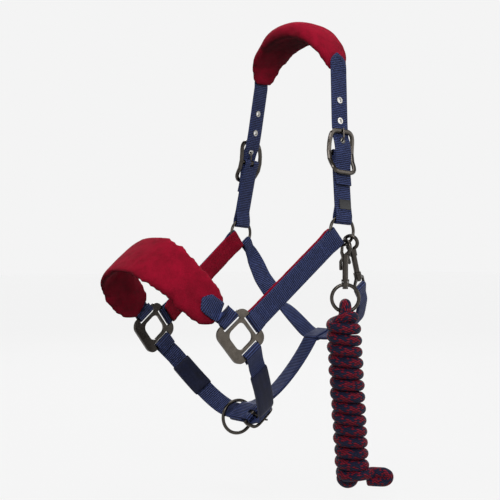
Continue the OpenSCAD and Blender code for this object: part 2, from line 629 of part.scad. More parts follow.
// Loop over the eye: [towards LOOK, up] from the eye's lowest wire.
top_loop = [for (f = [180:-20:0]) EYE_FOOT + LOOK * loop_r * cos(f) + Z * loop_r * sin(f)];
function on_top(a, b) = HANK_TOP + LOOK * a + SIDE * b;
loop_path = concat([on_top(-loop_r, 0)], top_loop, [on_top(loop_r, 0)]);
bight_r = rope_d / 2 + 0.4;
bight_path = [for (f = [0:-22.5:-180]) HANK_FOOT + SIDE * (bight_r * cos(f) - 6.8) + hank_axis * bight_r * sin(f)];
module tube(p, first, last) {
    q = concat([p[0] - first * 0.01], p, [p[len(p) - 1] + last * 0.01]);
    rod(q, rope_d);
}
module lead_rope() {
    color("darkred") {
        difference() {
            tube(loop_path, Z, -Z);
            translate(EYE_FOOT + Z * eye_r) rotate(90 - eye_turn) rotate([0, 90, 0])
                rotate_extrude($fn = 64) translate([eye_r, 0]) circle(d = eye_wire + 0.6);
        }
        tube(bight_path, -hank_axis, hank_axis);
    }
}
module rope_hank() {
    r = hank_d / 2;
    soft = 6;
    color("darkred") place(HANK_FOOT, unit(cross(Y, hank_axis)), unit(cross(hank_axis, cross(Y, hank_axis))))
        rotate_extrude($fn = 48) {
            translate([0, 0]) square([r - soft, hank_len]);
            translate([0, soft]) square([r, hank_len - 2 * soft]);
            for (y = [soft, hank_len - soft]) translate([r - soft, y]) circle(soft);
        }
}
end_len = 30;
end_h = 22;
END = HANK_FOOT + SIDE * (hank_d / 2 - 1) - hank_axis * 2;
module rope_end() {
    color("darkred") difference() {
        place(END, SIDE, LOOK) rotate([90, 0, 0]) linear_extrude(rope_d, center = true)
            translate([end_len / 2, 3]) {
                square([end_len, end_h - 8], center = true);
                translate([1, 0]) square([end_len - 6, end_h], center = true);
            }
        place(HANK_FOOT, unit(cross(Y, hank_axis)), unit(cross(hank_axis, cross(Y, hank_axis))))
            cylinder(h = hank_len, d = hank_d);
    }
}

// ---- Assembly ----
crown_pad();
billet();  // left_billet
off_side() billet();  // right_billet
eyelets();  // left_eyelets
off_side() eyelets();  // right_eyelets
place(RING, A, S) buckle_frame();  // left_buckle_frame
off_side() place(RING, A, S) buckle_frame();  // right_buckle_frame
place(RING, A, S) buckle_tongue();  // left_buckle_tongue
off_side() place(RING, A, S) buckle_tongue();  // right_buckle_tongue
heel_strap();  // left_heel_strap
off_side() heel_strap();  // right_heel_strap
heel_tab();  // left_heel_tab
cheek_ring();  // left_cheek_ring
off_side() cheek_ring();  // right_cheek_ring
cheek_strap();  // left_cheek_strap
off_side() cheek_strap();  // right_cheek_strap
cheek_lining();  // left_cheek_lining
off_side() cheek_lining();  // right_cheek_lining
nose_plate();  // left_nose_plate
off_side() nose_plate();  // right_nose_plate
nose_pad();
nose_tab();  // left_nose_tab
off_side() nose_tab();  // right_nose_tab
left_chin_strap();
right_chin_strap();
left_chin_sleeve();
right_chin_sleeve();
chin_buckle_frame();
chin_buckle_tongue();
chin_eyelets();
chin_ring();
jowl_strap();
throat_strap();
at_throat_snap() snap_body();  // throat_snap_body
at_throat_snap() snap_gate();  // throat_snap_gate
at_throat_snap() snap_pin();  // throat_snap_pin
at_throat_snap() snap_spring();  // throat_snap_spring
at_throat_snap() strap_eye();  // throat_snap_eye
at_lead_snap() snap_body();  // lead_snap_body
at_lead_snap() snap_gate();  // lead_snap_gate
at_lead_snap() snap_pin();  // lead_snap_pin
at_lead_snap() snap_spring();  // lead_snap_spring
at_lead_snap() lead_eye();  // lead_snap_eye
lead_rope();
rope_hank();
rope_end();
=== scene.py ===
"""Padded head halter with a wound lead rope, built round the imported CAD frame."""
import json
import math

import bmesh
import bpy
import numpy as np
from bpy.props import FloatProperty, FloatVectorProperty, PointerProperty
from mathutils import Matrix, Vector, noise


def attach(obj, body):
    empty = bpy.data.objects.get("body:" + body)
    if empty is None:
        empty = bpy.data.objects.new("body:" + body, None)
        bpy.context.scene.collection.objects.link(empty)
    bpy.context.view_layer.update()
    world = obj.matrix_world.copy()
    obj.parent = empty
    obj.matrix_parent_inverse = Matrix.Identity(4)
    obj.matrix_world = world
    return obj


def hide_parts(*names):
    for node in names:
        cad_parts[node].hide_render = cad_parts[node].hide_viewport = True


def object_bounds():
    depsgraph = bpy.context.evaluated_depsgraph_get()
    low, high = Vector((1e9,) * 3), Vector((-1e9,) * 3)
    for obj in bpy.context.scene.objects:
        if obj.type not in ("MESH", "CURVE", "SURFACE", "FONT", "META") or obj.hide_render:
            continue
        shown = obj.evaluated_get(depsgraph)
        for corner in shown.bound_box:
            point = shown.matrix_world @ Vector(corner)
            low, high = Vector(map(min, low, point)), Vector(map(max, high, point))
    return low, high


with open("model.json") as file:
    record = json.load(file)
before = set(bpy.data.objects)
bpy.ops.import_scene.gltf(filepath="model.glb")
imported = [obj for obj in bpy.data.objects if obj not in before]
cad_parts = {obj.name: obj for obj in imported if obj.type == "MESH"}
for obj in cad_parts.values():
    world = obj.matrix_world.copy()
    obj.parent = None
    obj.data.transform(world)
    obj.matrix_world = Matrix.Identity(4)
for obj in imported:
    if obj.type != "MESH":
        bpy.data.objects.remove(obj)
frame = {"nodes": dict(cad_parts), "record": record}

bl_info = {
    "name": "Padded head halter",
    "version": (1, 0, 0),
    "blender": (4, 5, 0),
    "location": "3D View > Sidebar > Halter",
    "description": "Builds the webbing, pads, rope and finishes of a padded head halter",
    "category": "Object",
}

CAD_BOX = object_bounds()
MM = 0.001


def linear(code):
    """A linear RGB colour from an sRGB hex value."""
    parts = [int(code[i : i + 2], 16) / 255 for i in (1, 3, 5)]
    return [c / 12.92 if c <= 0.04045 else ((c + 0.055) / 1.055) ** 2.4 for c in parts]


def colour(name, code, about):
    return FloatVectorProperty(
        name=name, description=about, subtype="COLOR", size=3, min=0, max=1, default=linear(code)
    )


def length(name, value, about):
    return FloatProperty(
        name=name, description=about, unit="LENGTH", default=value * MM, min=0, precision=4
    )


class HalterSizes(bpy.types.PropertyGroup):
    rib_pitch: length("Rib pitch", 2.4, "Distance between the ribs of the webbing")
    rib_height: length("Rib height", 0.4, "How far a rib stands above the groove beside it")
    stitch: length("Stitch length", 2.6, "Length of one stitch of the sewing thread")
    puff: length("Pad puff", 3.5, "The most that the crown pad's filling may push its cover out")
    rope: length("Rope diameter", 14, "Diameter of the lead rope")


class HalterColours(bpy.types.PropertyGroup):
    webbing: colour("Webbing", "#18214c", "Nylon webbing of the straps")
    # The crest colour is a painted highlight on the crests of the webbing's ribs.
    webbing_crest_highlight: colour("Webbing crest", "#4a5a94", "Crests of the webbing's ribs")
    ribbon: colour("Smooth sleeve", "#0d1330", "Smooth woven sleeves of the chin straps")
    fleece: colour("Fleece", "#ab0d2f", "Short fleece of the pads")
    nickel: colour("Black nickel", "#45413d", "Black nickel plate on rings, buckles and snaps")
    casting: colour("Gunmetal", "#504b45", "Satin gunmetal plate of the nose plates")
    rope_red: colour("Rope red", "#9c0c34", "Crimson yarns of the rope")
    rope_blue: colour("Rope blue", "#12163c", "Navy yarns of the rope")
    floor: colour("Floor", "#fcfcfc", "Floor and backdrop")


# ---- Places and directions of the near side, in millimetres; the off side is its mirror image ----
def vec(*v):
    return np.array(v, float)


def unit(v):
    return np.asarray(v, float) / np.linalg.norm(v)


def square_to(v, t):
    """v with its part along t taken out."""
    return unit(np.asarray(v, float) - np.dot(v, t) * np.asarray(t, float))


X, Y, Z = np.eye(3)
RING = vec(-15, -102, -260)
PLATE = vec(-168, -91, -385)
PAD_END = vec(2, -78, -58)
U = unit(RING - PLATE)
V = square_to(vec(-U[2], 0.09, U[0]), U)
N = np.cross(U, V)
S = unit(PAD_END - RING)
A = unit(np.cross(S, N))
HN = np.cross(A, S)
BILLET_LEN = np.linalg.norm(PAD_END - RING)
CHEEK_LEN = np.linalg.norm(RING - PLATE)
FLAT_U = unit(vec(U[0], 0, U[2]))
FLAT_V = unit(vec(V[0], 0, V[2]))
WEB_T = 1.8
WEB_STEP = 0.6
HALF_W = 12.5
RING_R = 18
RING_EYE = (11.99, RING_R, RING_R + 12, 2.7)
PLATE_AT = 24.2
JOIN_AT = PLATE_AT + 12
BAR_Y = 99
OFF = vec(1, -1, 1)


def from_ring(turn):
    x = square_to(X, N)
    z = np.cross(x, N)
    z = z if z[2] > 0 else -z
    return x * math.cos(math.radians(turn)) + z * math.sin(math.radians(turn))


def bezier(a, b, c, d, n):
    return [
        (1 - t) ** 3 * a + 3 * (1 - t) ** 2 * t * b + 3 * (1 - t) * t * t * c + t**3 * d
        for t in np.linspace(0, 1, n + 1)
    ]


def mix(a, b, t):
    return a + (b - a) * t


# ---- Strap routes: each row is a point, the across direction there, the rib weight and half the width ----
def rows_of(points, across, rib=1.0, half=HALF_W):
    n = len(points)
    across = across if np.ndim(across) == 2 else [across] * n
    rib = rib if np.ndim(rib) else [rib] * n
    half = half if np.ndim(half) else [half] * n
    return np.array([[*p, *a, r, h] for p, a, r, h in zip(points, across, rib, half)], float)


def mirrored(rows):
    rows = rows.copy()
    rows[:, [1, 4]] *= -1
    return rows


def spaced(rows, step, closed=False):
    """The same route with its rows an even step apart, and its length."""
    if closed:
        rows = np.vstack([rows, rows[:1]])
    gaps = np.linalg.norm(np.diff(rows[:, :3], axis=0), axis=1)
    rows = rows[np.concatenate([[True], gaps > 1e-6])]
    at = np.concatenate([[0], np.cumsum(gaps[gaps > 1e-6])])
    want = np.linspace(0, at[-1], max(4, round(at[-1] / step)) + 1)
    out = np.stack([np.interp(want, at, rows[:, k]) for k in range(rows.shape[1])], 1)
    return (out[:-1] if closed else out), at[-1]


def softened(rows, closed=False, passes=2, step=2.4):
    """Rounds the corners of a route."""
    rows = spaced(rows, step, closed)[0]
    for _ in range(passes):
        after = np.roll(rows, -1, 0) if closed else rows[1:]
        now = rows if closed else rows[:-1]
        cut = np.stack(
            [now * 0.75 + after * 0.25, now * 0.25 + after * 0.75], 1
        ).reshape(-1, rows.shape[1])
        rows = cut if closed else np.vstack([rows[:1], cut, rows[-1:]])
    return rows


def eye(origin, along, out, spec, across, thick=WEB_T, half=HALF_W):
    """Webbing's centreline from its join on the out side, round a bar, to its join on the other side."""
    a, b, c, r = spec
    big = r + thick / 2
    turn = [(a - big * math.sin(f), big * math.cos(f)) for f in np.radians(np.arange(0, 181, 15))]
    flat = [(c, thick / 2), (b, big)] + turn + [(b, -big), (c, -thick / 2)]
    rib = [1, 0.5] + [0.25] * len(turn) + [0.5, 1]
    return rows_of([origin + along * y + out * z for y, z in flat], across, rib, half)


def section(half, thick):
    """Columns round a strap: (across, off the strap, rib weight), with worn round edges."""
    h, t = half, thick / 2
    top = [
        (-h + 0.3, 0.7 * t, 0.3), (-h + 1, t, 1), (-h / 2, t, 1), (0, t, 1), (h / 2, t, 1), (h - 1, t, 1),
        (h - 0.3, 0.7 * t, 0.3)
    ]
    return top + [(h, 0, 0)] + [(-x, -z, w) for x, z, w in top] + [(-h, 0, 0)]


def grid_tube(bm, rings, us, vs, closed=False):
    """A closed tube from a grid: rings[i][j] is point j of ring i, and us and vs are its UV in metres."""
    rows, cols = len(rings), len(rings[0])
    whole = rows if closed else rows - 1
    made = bmesh.ops.create_grid(bm, x_segments=cols, y_segments=whole, size=0.5)["verts"]
    uv = bm.loops.layers.uv.verify()
    place = {}
    for v in made:
        i, j = round((v.co.y + 0.5) * whole), round((v.co.x + 0.5) * cols)
        place[v] = (i, j)
    for v, (i, j) in place.items():
        v.co = Vector(rings[i % rows][j % cols]) * MM
    for f in {f for v in made for f in v.link_faces}:
        for loop in f.loops:
            i, j = place[loop.vert]
            loop[uv].uv = (us[j], vs[i])
    bmesh.ops.remove_doubles(bm, verts=made, dist=1e-8)
    if not closed:
        bmesh.ops.holes_fill(bm, edges=[e for e in bm.edges if e.is_boundary], sides=0)


def lay_webbing(bm, rows, thick=WEB_T, closed=False):
    """Lays webbing along a route, with a rib across it every rib pitch."""
    sizes = bpy.context.scene.halter_sizes
    pitch, high = sizes.rib_pitch / MM, sizes.rib_height / MM
    rows, total = spaced(rows, WEB_STEP, closed)
    pitch = total / round(total / pitch)
    p, side = rows[:, :3], rows[:, 3:6]
    ahead = np.roll(p, -1, 0) - np.roll(p, 1, 0) if closed else np.gradient(p, axis=0)
    ahead /= np.linalg.norm(ahead, axis=1)[:, None]
    side = side - (side * ahead).sum(1)[:, None] * ahead
    side /= np.linalg.norm(side, axis=1)[:, None]
    off = np.cross(side, ahead)
    s = np.linspace(0, total, len(rows) + 1)[: len(rows)] if closed else np.linspace(0, total, len(rows))
    wave = 0.5 - 0.5 * np.cos(2 * math.pi * s / pitch)
    rings = []
    for i in range(len(rows)):
        lift = high * rows[i, 6] * (wave[i] - 0.5)
        ring = []
        for x, z, w in section(rows[i, 7], thick):
            ring.append(p[i] + side[i] * x + off[i] * (z + lift * w * (1 if z > 0 else -1)))
        rings.append(ring)
    cut = section(HALF_W, thick)
    us, run = [0.0], 0.0
    for a, b in zip(cut, cut[1:] + cut[:1]):
        run += math.dist(a[:2], b[:2]) * MM
        us.append(run)
    per = sizes.rib_pitch / MM / pitch
    vs = [v * MM * per for v in s] + [total * MM * per]
    grid_tube(bm, rings, us, vs, closed)


def two_layers(rows, first, last):
    """A closed route for doubled webbing: out on one layer, round the last bar and back on the other."""
    p, side = rows[:, :3], rows[:, 3:6]
    ahead = np.gradient(p, axis=0)
    off = np.cross(side, ahead)
    off /= np.linalg.norm(off, axis=1)[:, None]
    outer, inner = rows.copy(), rows.copy()
    outer[:, :3] += off * WEB_T / 2
    inner[:, :3] -= off * WEB_T / 2
    return np.vstack([outer, last, inner[::-1], first])


def finish_piece(bm, name, material, body, replaced=()):
    """Makes the piece's object at the origin and files it with the frame."""
    bmesh.ops.recalc_face_normals(bm, faces=bm.faces)
    mesh = bpy.data.meshes.new(name)
    bm.to_mesh(mesh)
    bm.free()
    piece = bpy.data.objects.new(name, mesh)
    bpy.context.scene.collection.objects.link(piece)
    mesh.materials.append(material)
    for face in mesh.polygons:
        face.use_smooth = True
    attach(piece, body)
    if replaced:
        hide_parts(*replaced)
    return piece


def strap(name, node, rows, thick=WEB_T - 0.1, closed=False):
    """A piece of webbing laid along a route."""
    bm = bmesh.new()
    lay_webbing(bm, rows, thick, closed)
    return finish_piece(bm, name, finish_of("webbing"), "halter", (node,))


def rounded_end(i, last, over, share):
    """How far a section has opened at row i: 1 - share at either end, and 1 from over rows in."""
    return math.sqrt(max(0.0, 1 - max(0, 1 - min(i, last - i) / over) ** 2)) * share + (1 - share)


def swept(points, across, outline):
    """Rings along a route; outline(i) is the section at row i, as (across, off the surface) pairs."""
    ahead = np.gradient(points, axis=0)
    rings = []
    for i, p in enumerate(points):
        t = unit(ahead[i])
        side = square_to(across[i], t)
        off = np.cross(side, t)
        rings.append([p + side * x + off * z for x, z in outline(i)])
    return rings


def apply_modifiers(piece):
    """Replaces the piece's mesh with what its modifiers make of it."""
    seen = piece.evaluated_get(bpy.context.evaluated_depsgraph_get())
    mesh = bpy.data.meshes.new_from_object(seen)
    piece.modifiers.clear()
    piece.data = mesh


def cut_holes(piece, cutter_bm):
    """Cuts the cutter's shapes out of the piece."""
    mesh = bpy.data.meshes.new("cutter")
    cutter_bm.to_mesh(mesh)
    cutter_bm.free()
    cutter = bpy.data.objects.new("cutter", mesh)
    bpy.context.scene.collection.objects.link(cutter)
    cut = piece.modifiers.new("holes", "BOOLEAN")
    cut.operation, cut.solver, cut.object = "DIFFERENCE", "EXACT", cutter
    bpy.context.view_layer.update()
    apply_modifiers(piece)
    bpy.data.objects.remove(cutter)
    for face in piece.data.polygons:
        face.use_smooth = True


def frame_matrix(origin, x, y):
    """A matrix in metres whose axes are x, y and their cross product."""
    z = np.cross(x, y)
    m = Matrix.Identity(4)
    for i in range(3):
        m[i][0], m[i][1], m[i][2], m[i][3] = x[i], y[i], z[i], origin[i] * MM
    return m


def as_is(rows):
    return rows


def flipped(m):
    return Matrix.Diagonal((1, -1, 1, 1)) @ m


# For each side: its tag in piece names, its tag in node names, and what turns near rows and matrices to it.
SIDES = (("near", "left", as_is, as_is), ("off", "right", mirrored, flipped))


# ---- Materials ----
def add_node(tree, kind, links=(), **settings):
    """Adds a node with its settings; links are (input, value or socket) pairs."""
    node = tree.nodes.new(kind)
    for key, value in settings.items():
        setattr(node, key, value)
    for key, value in links:
        if isinstance(value, bpy.types.NodeSocket):
            tree.links.new(value, node.inputs[key])
        else:
            node.inputs[key].default_value = value
    return node


def new_material(name):
    material = bpy.data.materials.new(name)
    material.use_nodes = True
    tree = material.node_tree
    shader = tree.nodes["Principled BSDF"]
    return material, tree, shader


def set_shader(tree, shader, values=(), **sockets):
    for key, value in values:
        shader.inputs[key].default_value = value
    for key, socket in sockets.items():
        tree.links.new(socket, shader.inputs[key.replace("_", " ")])


def ramp(tree, fac, stops):
    node = add_node(tree, "ShaderNodeValToRGB", [("Fac", fac)])
    band = node.color_ramp
    while len(band.elements) < len(stops):
        band.elements.new(0.5)
    for element, (at, shade) in zip(band.elements, stops):
        element.position, element.color = at, (*shade, 1)
    return node.outputs["Color"]


def shade(rgb, k):
    return [c * k for c in rgb]


def calc(tree, kind, *values):
    """The result of a maths node."""
    return add_node(tree, "ShaderNodeMath", list(enumerate(values)), operation=kind).outputs[0]


def cloud(tree, place, scale, detail=2.0, rough=0.5):
    """Soft noise from 0 to 1."""
    links = [("Vector", place), ("Scale", scale), ("Detail", detail), ("Roughness", rough)]
    return add_node(tree, "ShaderNodeTexNoise", links).outputs["Fac"]


def bumps(tree, strength, distance, height, under=None):
    """A surface normal tilted by height, on top of the one under it."""
    links = [("Strength", strength), ("Distance", distance), ("Height", height)]
    return add_node(
        tree, "ShaderNodeBump", links + ([] if under is None else [("Normal", under)])
    ).outputs[0]


def remap(tree, value, low, high, to_low, to_high):
    links = [
        ("Value", value), ("From Min", low), ("From Max", high), ("To Min", to_low), ("To Max", to_high)
    ]
    return add_node(tree, "ShaderNodeMapRange", links).outputs[0]


def object_place(tree):
    return add_node(tree, "ShaderNodeTexCoord").outputs["Object"]


def uv_parts(tree):
    parts = add_node(tree, "ShaderNodeSeparateXYZ", [(0, add_node(tree, "ShaderNodeUVMap").outputs[0])])
    return parts.outputs[0], parts.outputs[1]


def sine(tree, value, pitch):
    """A wave from 0 to 1 with the given pitch in metres along value."""
    turn = calc(tree, "MULTIPLY", value, 2 * math.pi / pitch)
    return calc(tree, "MULTIPLY_ADD", calc(tree, "COSINE", turn), -0.5, 0.5)


def webbing_material(name, crest_pitch, yarn_pitch):
    """Solution-dyed nylon webbing, woven: a dull, faintly shiny yarn, with painted shade in the grooves
    between the ribs and a painted highlight on each rib's crest.
    """
    shades = bpy.context.scene.halter_colours
    material, tree, shader = new_material(name)
    across, along = uv_parts(tree)
    rib, yarn = sine(tree, along, crest_pitch), sine(tree, across, yarn_pitch)
    place = object_place(tree)
    # Uneven tension and dust show as soft patches about 9 mm across.
    patch, fuzz = cloud(tree, place, 110.0, 3.0), cloud(tree, place, 2600.0)
    level = calc(tree, "MULTIPLY_ADD", yarn, 0.14, calc(tree, "MULTIPLY", patch, 0.3))
    # The rib wave adds painted shade in each groove (darkest stop) and a painted highlight on each crest
    # (lightest stop), on top of the patches, fuzz and yarn pattern.
    rib_shading_and_tone = calc(tree, "MULTIPLY_ADD", rib, 0.62, calc(tree, "MULTIPLY_ADD", fuzz, 0.25, level))
    base = ramp(
        tree, rib_shading_and_tone,
        [
            (0.3, shade(shades.webbing, 0.15)), (0.62, list(shades.webbing)),
            (0.95, list(shades.webbing_crest_highlight))
        ]
    )
    woven = bumps(tree, 0.8, 0.00016, calc(tree, "MULTIPLY_ADD", yarn, 0.6, rib))
    grain = bumps(tree, 0.35, 0.0001, fuzz, woven)
    rough = remap(tree, rib_shading_and_tone, 0.3, 1.1, 0.72, 0.5)
    values = [
        ("IOR", 1.53), ("Specular IOR Level", 0.25), ("Sheen Weight", 0.03), ("Sheen Roughness", 0.4)
    ]
    set_shader(tree, shader, values, Base_Color=base, Roughness=rough, Normal=grain)
    return material


def ribbon_material():
    """Polyester ribbon, plain woven: smooth and even, with a soft satin shine."""
    ribbon = bpy.context.scene.halter_colours.ribbon
    material, tree, shader = new_material("smooth_polyester_ribbon")
    across, along = uv_parts(tree)
    # The real thread is 0.25 mm; it is drawn at 0.9 mm, as coarse as it needs to show.
    thread = 0.0009
    weave = calc(tree, "MULTIPLY", sine(tree, across, thread), sine(tree, along, thread))
    level = calc(tree, "MULTIPLY_ADD", weave, 0.3, cloud(tree, object_place(tree), 90.0, 4.0))
    base = ramp(tree, level, [(0.3, shade(ribbon, 0.6)), (0.9, shade(ribbon, 1.5))])
    values = [("Roughness", 0.6), ("IOR", 1.57), ("Specular IOR Level", 0.2)]
    set_shader(tree, shader, values, Base_Color=base, Normal=bumps(tree, 0.5, 0.00012, weave))
    return material


def fleece_material():
    """Polyester microfleece, brushed: no gloss, a dense nap of short fibres and faint brushed patches."""
    fleece = bpy.context.scene.halter_colours.fleece
    material, tree, shader = new_material("brushed_microfleece")
    place = object_place(tree)
    # The fibres are 0.02 mm; the nap is drawn as tufts 0.7 mm across so that it shows.
    nap = cloud(tree, place, 1400.0, 3.0, 0.7)
    tuft = add_node(
        tree, "ShaderNodeTexVoronoi", [("Vector", place), ("Scale", 900.0)], feature="SMOOTH_F1"
    ).outputs["Distance"]
    brushed = cloud(tree, place, 70.0, 4.0, 0.6)
    level = calc(tree, "MULTIPLY_ADD", nap, 0.5, brushed)
    base = ramp(
        tree, level, [(0.45, shade(fleece, 0.62)), (0.75, list(fleece)), (1.0, shade(fleece, 1.25))]
    )
    pile = bumps(tree, 0.7, 0.0004, calc(tree, "MULTIPLY_ADD", nap, 1.0, tuft))
    values = [
        ("Roughness", 0.95), ("IOR", 1.45), ("Specular IOR Level", 0.12), ("Sheen Weight", 0.05),
        ("Sheen Roughness", 0.45), ("Sheen Tint", (1.0, 0.45, 0.5, 1.0))
    ]
    set_shader(tree, shader, values, Base_Color=base, Normal=bumps(tree, 0.4, 0.002, brushed, pile))
    return material


def metal_material(name, tint, rough, scratch):
    """Plated metal: a dark mirror with slight orange peel and fine handling marks."""
    material, tree, shader = new_material(name)
    place = object_place(tree)
    mark = cloud(tree, place, scratch)
    base = ramp(tree, cloud(tree, place, 160.0, 5.0), [(0.3, shade(tint, 0.8)), (0.7, shade(tint, 1.15))])
    worn = remap(tree, mark, 0.35, 0.7, rough * 0.75, rough * 1.4)
    set_shader(
        tree, shader, [("Metallic", 1.0)], Base_Color=base, Roughness=worn,
        Normal=bumps(tree, 0.12, 0.0001, mark)
    )
    return material


def rope_material():
    """Braided polypropylene rope: bright round yarns in crimson and navy that cross in diamonds."""
    shades = bpy.context.scene.halter_colours
    material, tree, shader = new_material("braided_polypropylene")

    def now(kind, *values):
        return calc(tree, kind, *values)

    # Fourteen yarns each way round the rope, and a diamond 4.8 mm long.
    yarns, diamond = 14.0, 0.0048
    around, ahead = uv_parts(tree)
    around, ahead = now("MULTIPLY", around, yarns), now("MULTIPLY", ahead, 1 / diamond)
    up, down = now("ADD", around, ahead), now("SUBTRACT", around, ahead)
    cell_up, cell_down = now("FLOOR", up), now("FLOOR", down)
    over = now("PINGPONG", now("ADD", cell_up, cell_down), 1.0)
    red_up = now("LESS_THAN", now("WRAP", cell_up, 4.0, 0.0), 1.5)
    red_down = now("LESS_THAN", now("WRAP", cell_down, 6.0, 0.0), 2.5)
    red = add_node(tree, "ShaderNodeMix", [("Factor", over), ("A", red_up), ("B", red_down)]).outputs[0]
    # Each yarn is painted near black at its edges and light at its crown: painted shade in the gaps between
    # the yarns and a painted highlight on each crown.
    high_up, high_down = (now("SINE", now("MULTIPLY", now("FRACT", way), math.pi)) for way in (up, down))
    high = now("MULTIPLY", high_up, high_down)
    fibre = cloud(tree, object_place(tree), 1500.0, 3.0)
    lit = now("MULTIPLY", high, fibre)
    reds = ramp(
        tree, lit,
        [
            (0.02, shade(shades.rope_red, 0.16)), (0.3, shade(shades.rope_red, 0.9)),
            (0.7, shade(shades.rope_red, 1.5))
        ]
    )
    blues = ramp(
        tree, lit,
        [
            (0.02, shade(shades.rope_blue, 0.18)), (0.3, list(shades.rope_blue)),
            (0.7, shade(shades.rope_blue, 2.2))
        ]
    )
    base = add_node(tree, "ShaderNodeMix", [("Factor", red)], data_type="RGBA")
    # The colour sockets share their names with the node's hidden number sockets.
    for key, value in (("A", blues), ("B", reds)):
        tree.links.new(value, [s for s in base.inputs if s.name == key and s.type == "RGBA"][0])
    out = [s for s in base.outputs if s.type == "RGBA"][0]
    grain = bumps(tree, 0.4, 0.0002, fibre, bumps(tree, 1.0, 0.0009, high))
    values = [("Roughness", 0.65), ("IOR", 1.49), ("Specular IOR Level", 0.25)]
    set_shader(tree, shader, values, Base_Color=out, Normal=grain)
    return material


def thread_material(name, tint):
    """Bonded nylon sewing thread: a fine twist with a slight shine."""
    material, tree, shader = new_material(name)
    twist = cloud(tree, object_place(tree), 1800.0)
    base = ramp(tree, twist, [(0.3, shade(tint, 0.6)), (0.7, shade(tint, 1.3))])
    set_shader(
        tree, shader, [("Roughness", 0.5), ("IOR", 1.53)], Base_Color=base,
        Normal=bumps(tree, 0.4, 0.0001, twist)
    )
    return material


MADE = {}


def finish_of(key):
    """The material of that key, made once."""
    shades = bpy.context.scene.halter_colours
    makers = {
        "webbing": lambda: webbing_material(
            "woven_nylon_webbing", bpy.context.scene.halter_sizes.rib_pitch, 0.0013
        ),
        "ribbon": ribbon_material,
        "fleece": fleece_material,
        "nickel": lambda: metal_material("black_nickel_plated_zinc", list(shades.nickel), 0.2, 900.0),
        "casting": lambda: metal_material("satin_gunmetal_casting", list(shades.casting), 0.36, 1500.0),
        "bright": lambda: metal_material("nickel_plated_brass_eyelets", linear("#a9a7a2"), 0.14, 900.0),
        "spring": lambda: metal_material("drawn_spring_steel", linear("#9a9894"), 0.25, 1200.0),
        "tab": lambda: thread_material("bare_black_woven_tab", linear("#17171b")),
        "rope": rope_material,
        "navy_thread": lambda: thread_material("navy_bonded_thread", linear("#3a4472")),
    }
    if key not in MADE:
        MADE[key] = makers[key]()
    return MADE[key]


# ---- Route of the lead rope ----
# The middle of the lead snap's hook, where the CAD has it.
LEAD_HOOK = vec(-10.364, -103.065, -281.06)
LOOK = vec(math.sin(math.radians(38)), math.cos(math.radians(38)), 0)
SIDE = vec(LOOK[1], -LOOK[0], 0)
EYE_FOOT = LEAD_HOOK - 80.4 * Z
HANK_TOP = EYE_FOOT + vec(-3, 1, -9)
HANK_UP = unit(vec(-16, 1, 198))
HANK_LEN = 200
HANK_FOOT = HANK_TOP - HANK_LEN * HANK_UP
LOOP_R, BIGHT_R, CORE_R, WRAP_R = 9.7, 7.4, 4.5, 15.5
HANK_X = square_to(LOOK, HANK_UP)
HANK_Y = np.cross(HANK_UP, HANK_X)


def in_hank(r, turn, up):
    f = math.radians(turn)
    return HANK_FOOT + HANK_UP * up + (HANK_X * math.cos(f) + HANK_Y * math.sin(f)) * r


def rope_route():
    """Over the snap's eye, down and up inside the hank, round it in turns and out at its foot."""
    loop = [
        EYE_FOOT + LOOK * LOOP_R * math.cos(f) + Z * LOOP_R * math.sin(f)
        for f in np.radians(np.arange(180, -1, -20))
    ]
    start = [in_hank(9.0, 180, 190), in_hank(9.6, 180, 200)]
    core_down = [in_hank(8.0, 0, 190), in_hank(5.5, 0, 176)] + [
        in_hank(CORE_R, 0, up) for up in range(160, 15, -20)
    ] + [in_hank(3.0, -40, 10)]
    bight = [
        HANK_FOOT + SIDE * (BIGHT_R * math.cos(f) - 6.8) + HANK_UP * BIGHT_R * math.sin(f)
        for f in np.radians(np.arange(-10, -171, -20))
    ]
    core_up = [in_hank(11, 95, 8), in_hank(7.5, 115, 20)] + [
        in_hank(CORE_R, 180, up) for up in range(40, 165, 20)
    ] + [in_hank(5.5, 160, 172)]
    turns, first, top, pitch = 13.9, 190, 204, 14.36
    wraps = []
    for i in range(round(turns * 16) + 1):
        f = i / 16
        r = WRAP_R - 3 * max(0, 1 - f) + 0.35 * math.sin(3.1 * f) - 0.06 * f
        wraps.append(in_hank(r, first + 360 * f, top - pitch * f + 0.6 * math.sin(5.3 * f)))
    climb = [in_hank(8.5, 100, 186), in_hank(11.5, 140, 198.5)]
    away = [HANK_FOOT + SIDE * a - LOOK * c + Z * 5 for a, c in ((7, 14.5), (15, 9))]
    fold = (
        (23, 5.6), (31, 5.2), (40, 4.8), (44.5, 1.8), (44.5, -2.8), (40, -5.4), (33, -5.2), (25, -4.8),
        (17, -4)
    )
    tail = away + [HANK_FOOT + SIDE * a + Z * b for a, b in fold]
    return start + loop + core_down + bight + core_up + climb + wraps + tail


def lay_rope(bm, route, thick):
    """A round tube along the route; u goes once round it and v is metres along it."""
    rows, total = spaced(softened(rows_of(route, X), step=3.0), 1.25)
    p = rows[:, :3]
    ahead = np.gradient(p, axis=0)
    ahead /= np.linalg.norm(ahead, axis=1)[:, None]
    side = square_to(vec(0.31, 0.27, 0.91), ahead[0])
    rings, cols = [], 22
    for i, point in enumerate(p):
        side = square_to(side, ahead[i])
        off = np.cross(side, ahead[i])
        k = thick / 2 * math.sqrt(max(0.05, 1 - max(0, 1 - min(i, len(p) - 1 - i) / 2.5) ** 2))
        rings.append(
            [
                point + (side * math.cos(f) + off * math.sin(f)) * k
                for f in np.linspace(0, 2 * math.pi, cols + 1)[:-1]
            ]
        )
    grid_tube(
        bm, rings, [j / cols for j in range(cols + 1)], list(np.linspace(0, total * MM, len(p) + 1))
    )
    return p * MM, total * MM


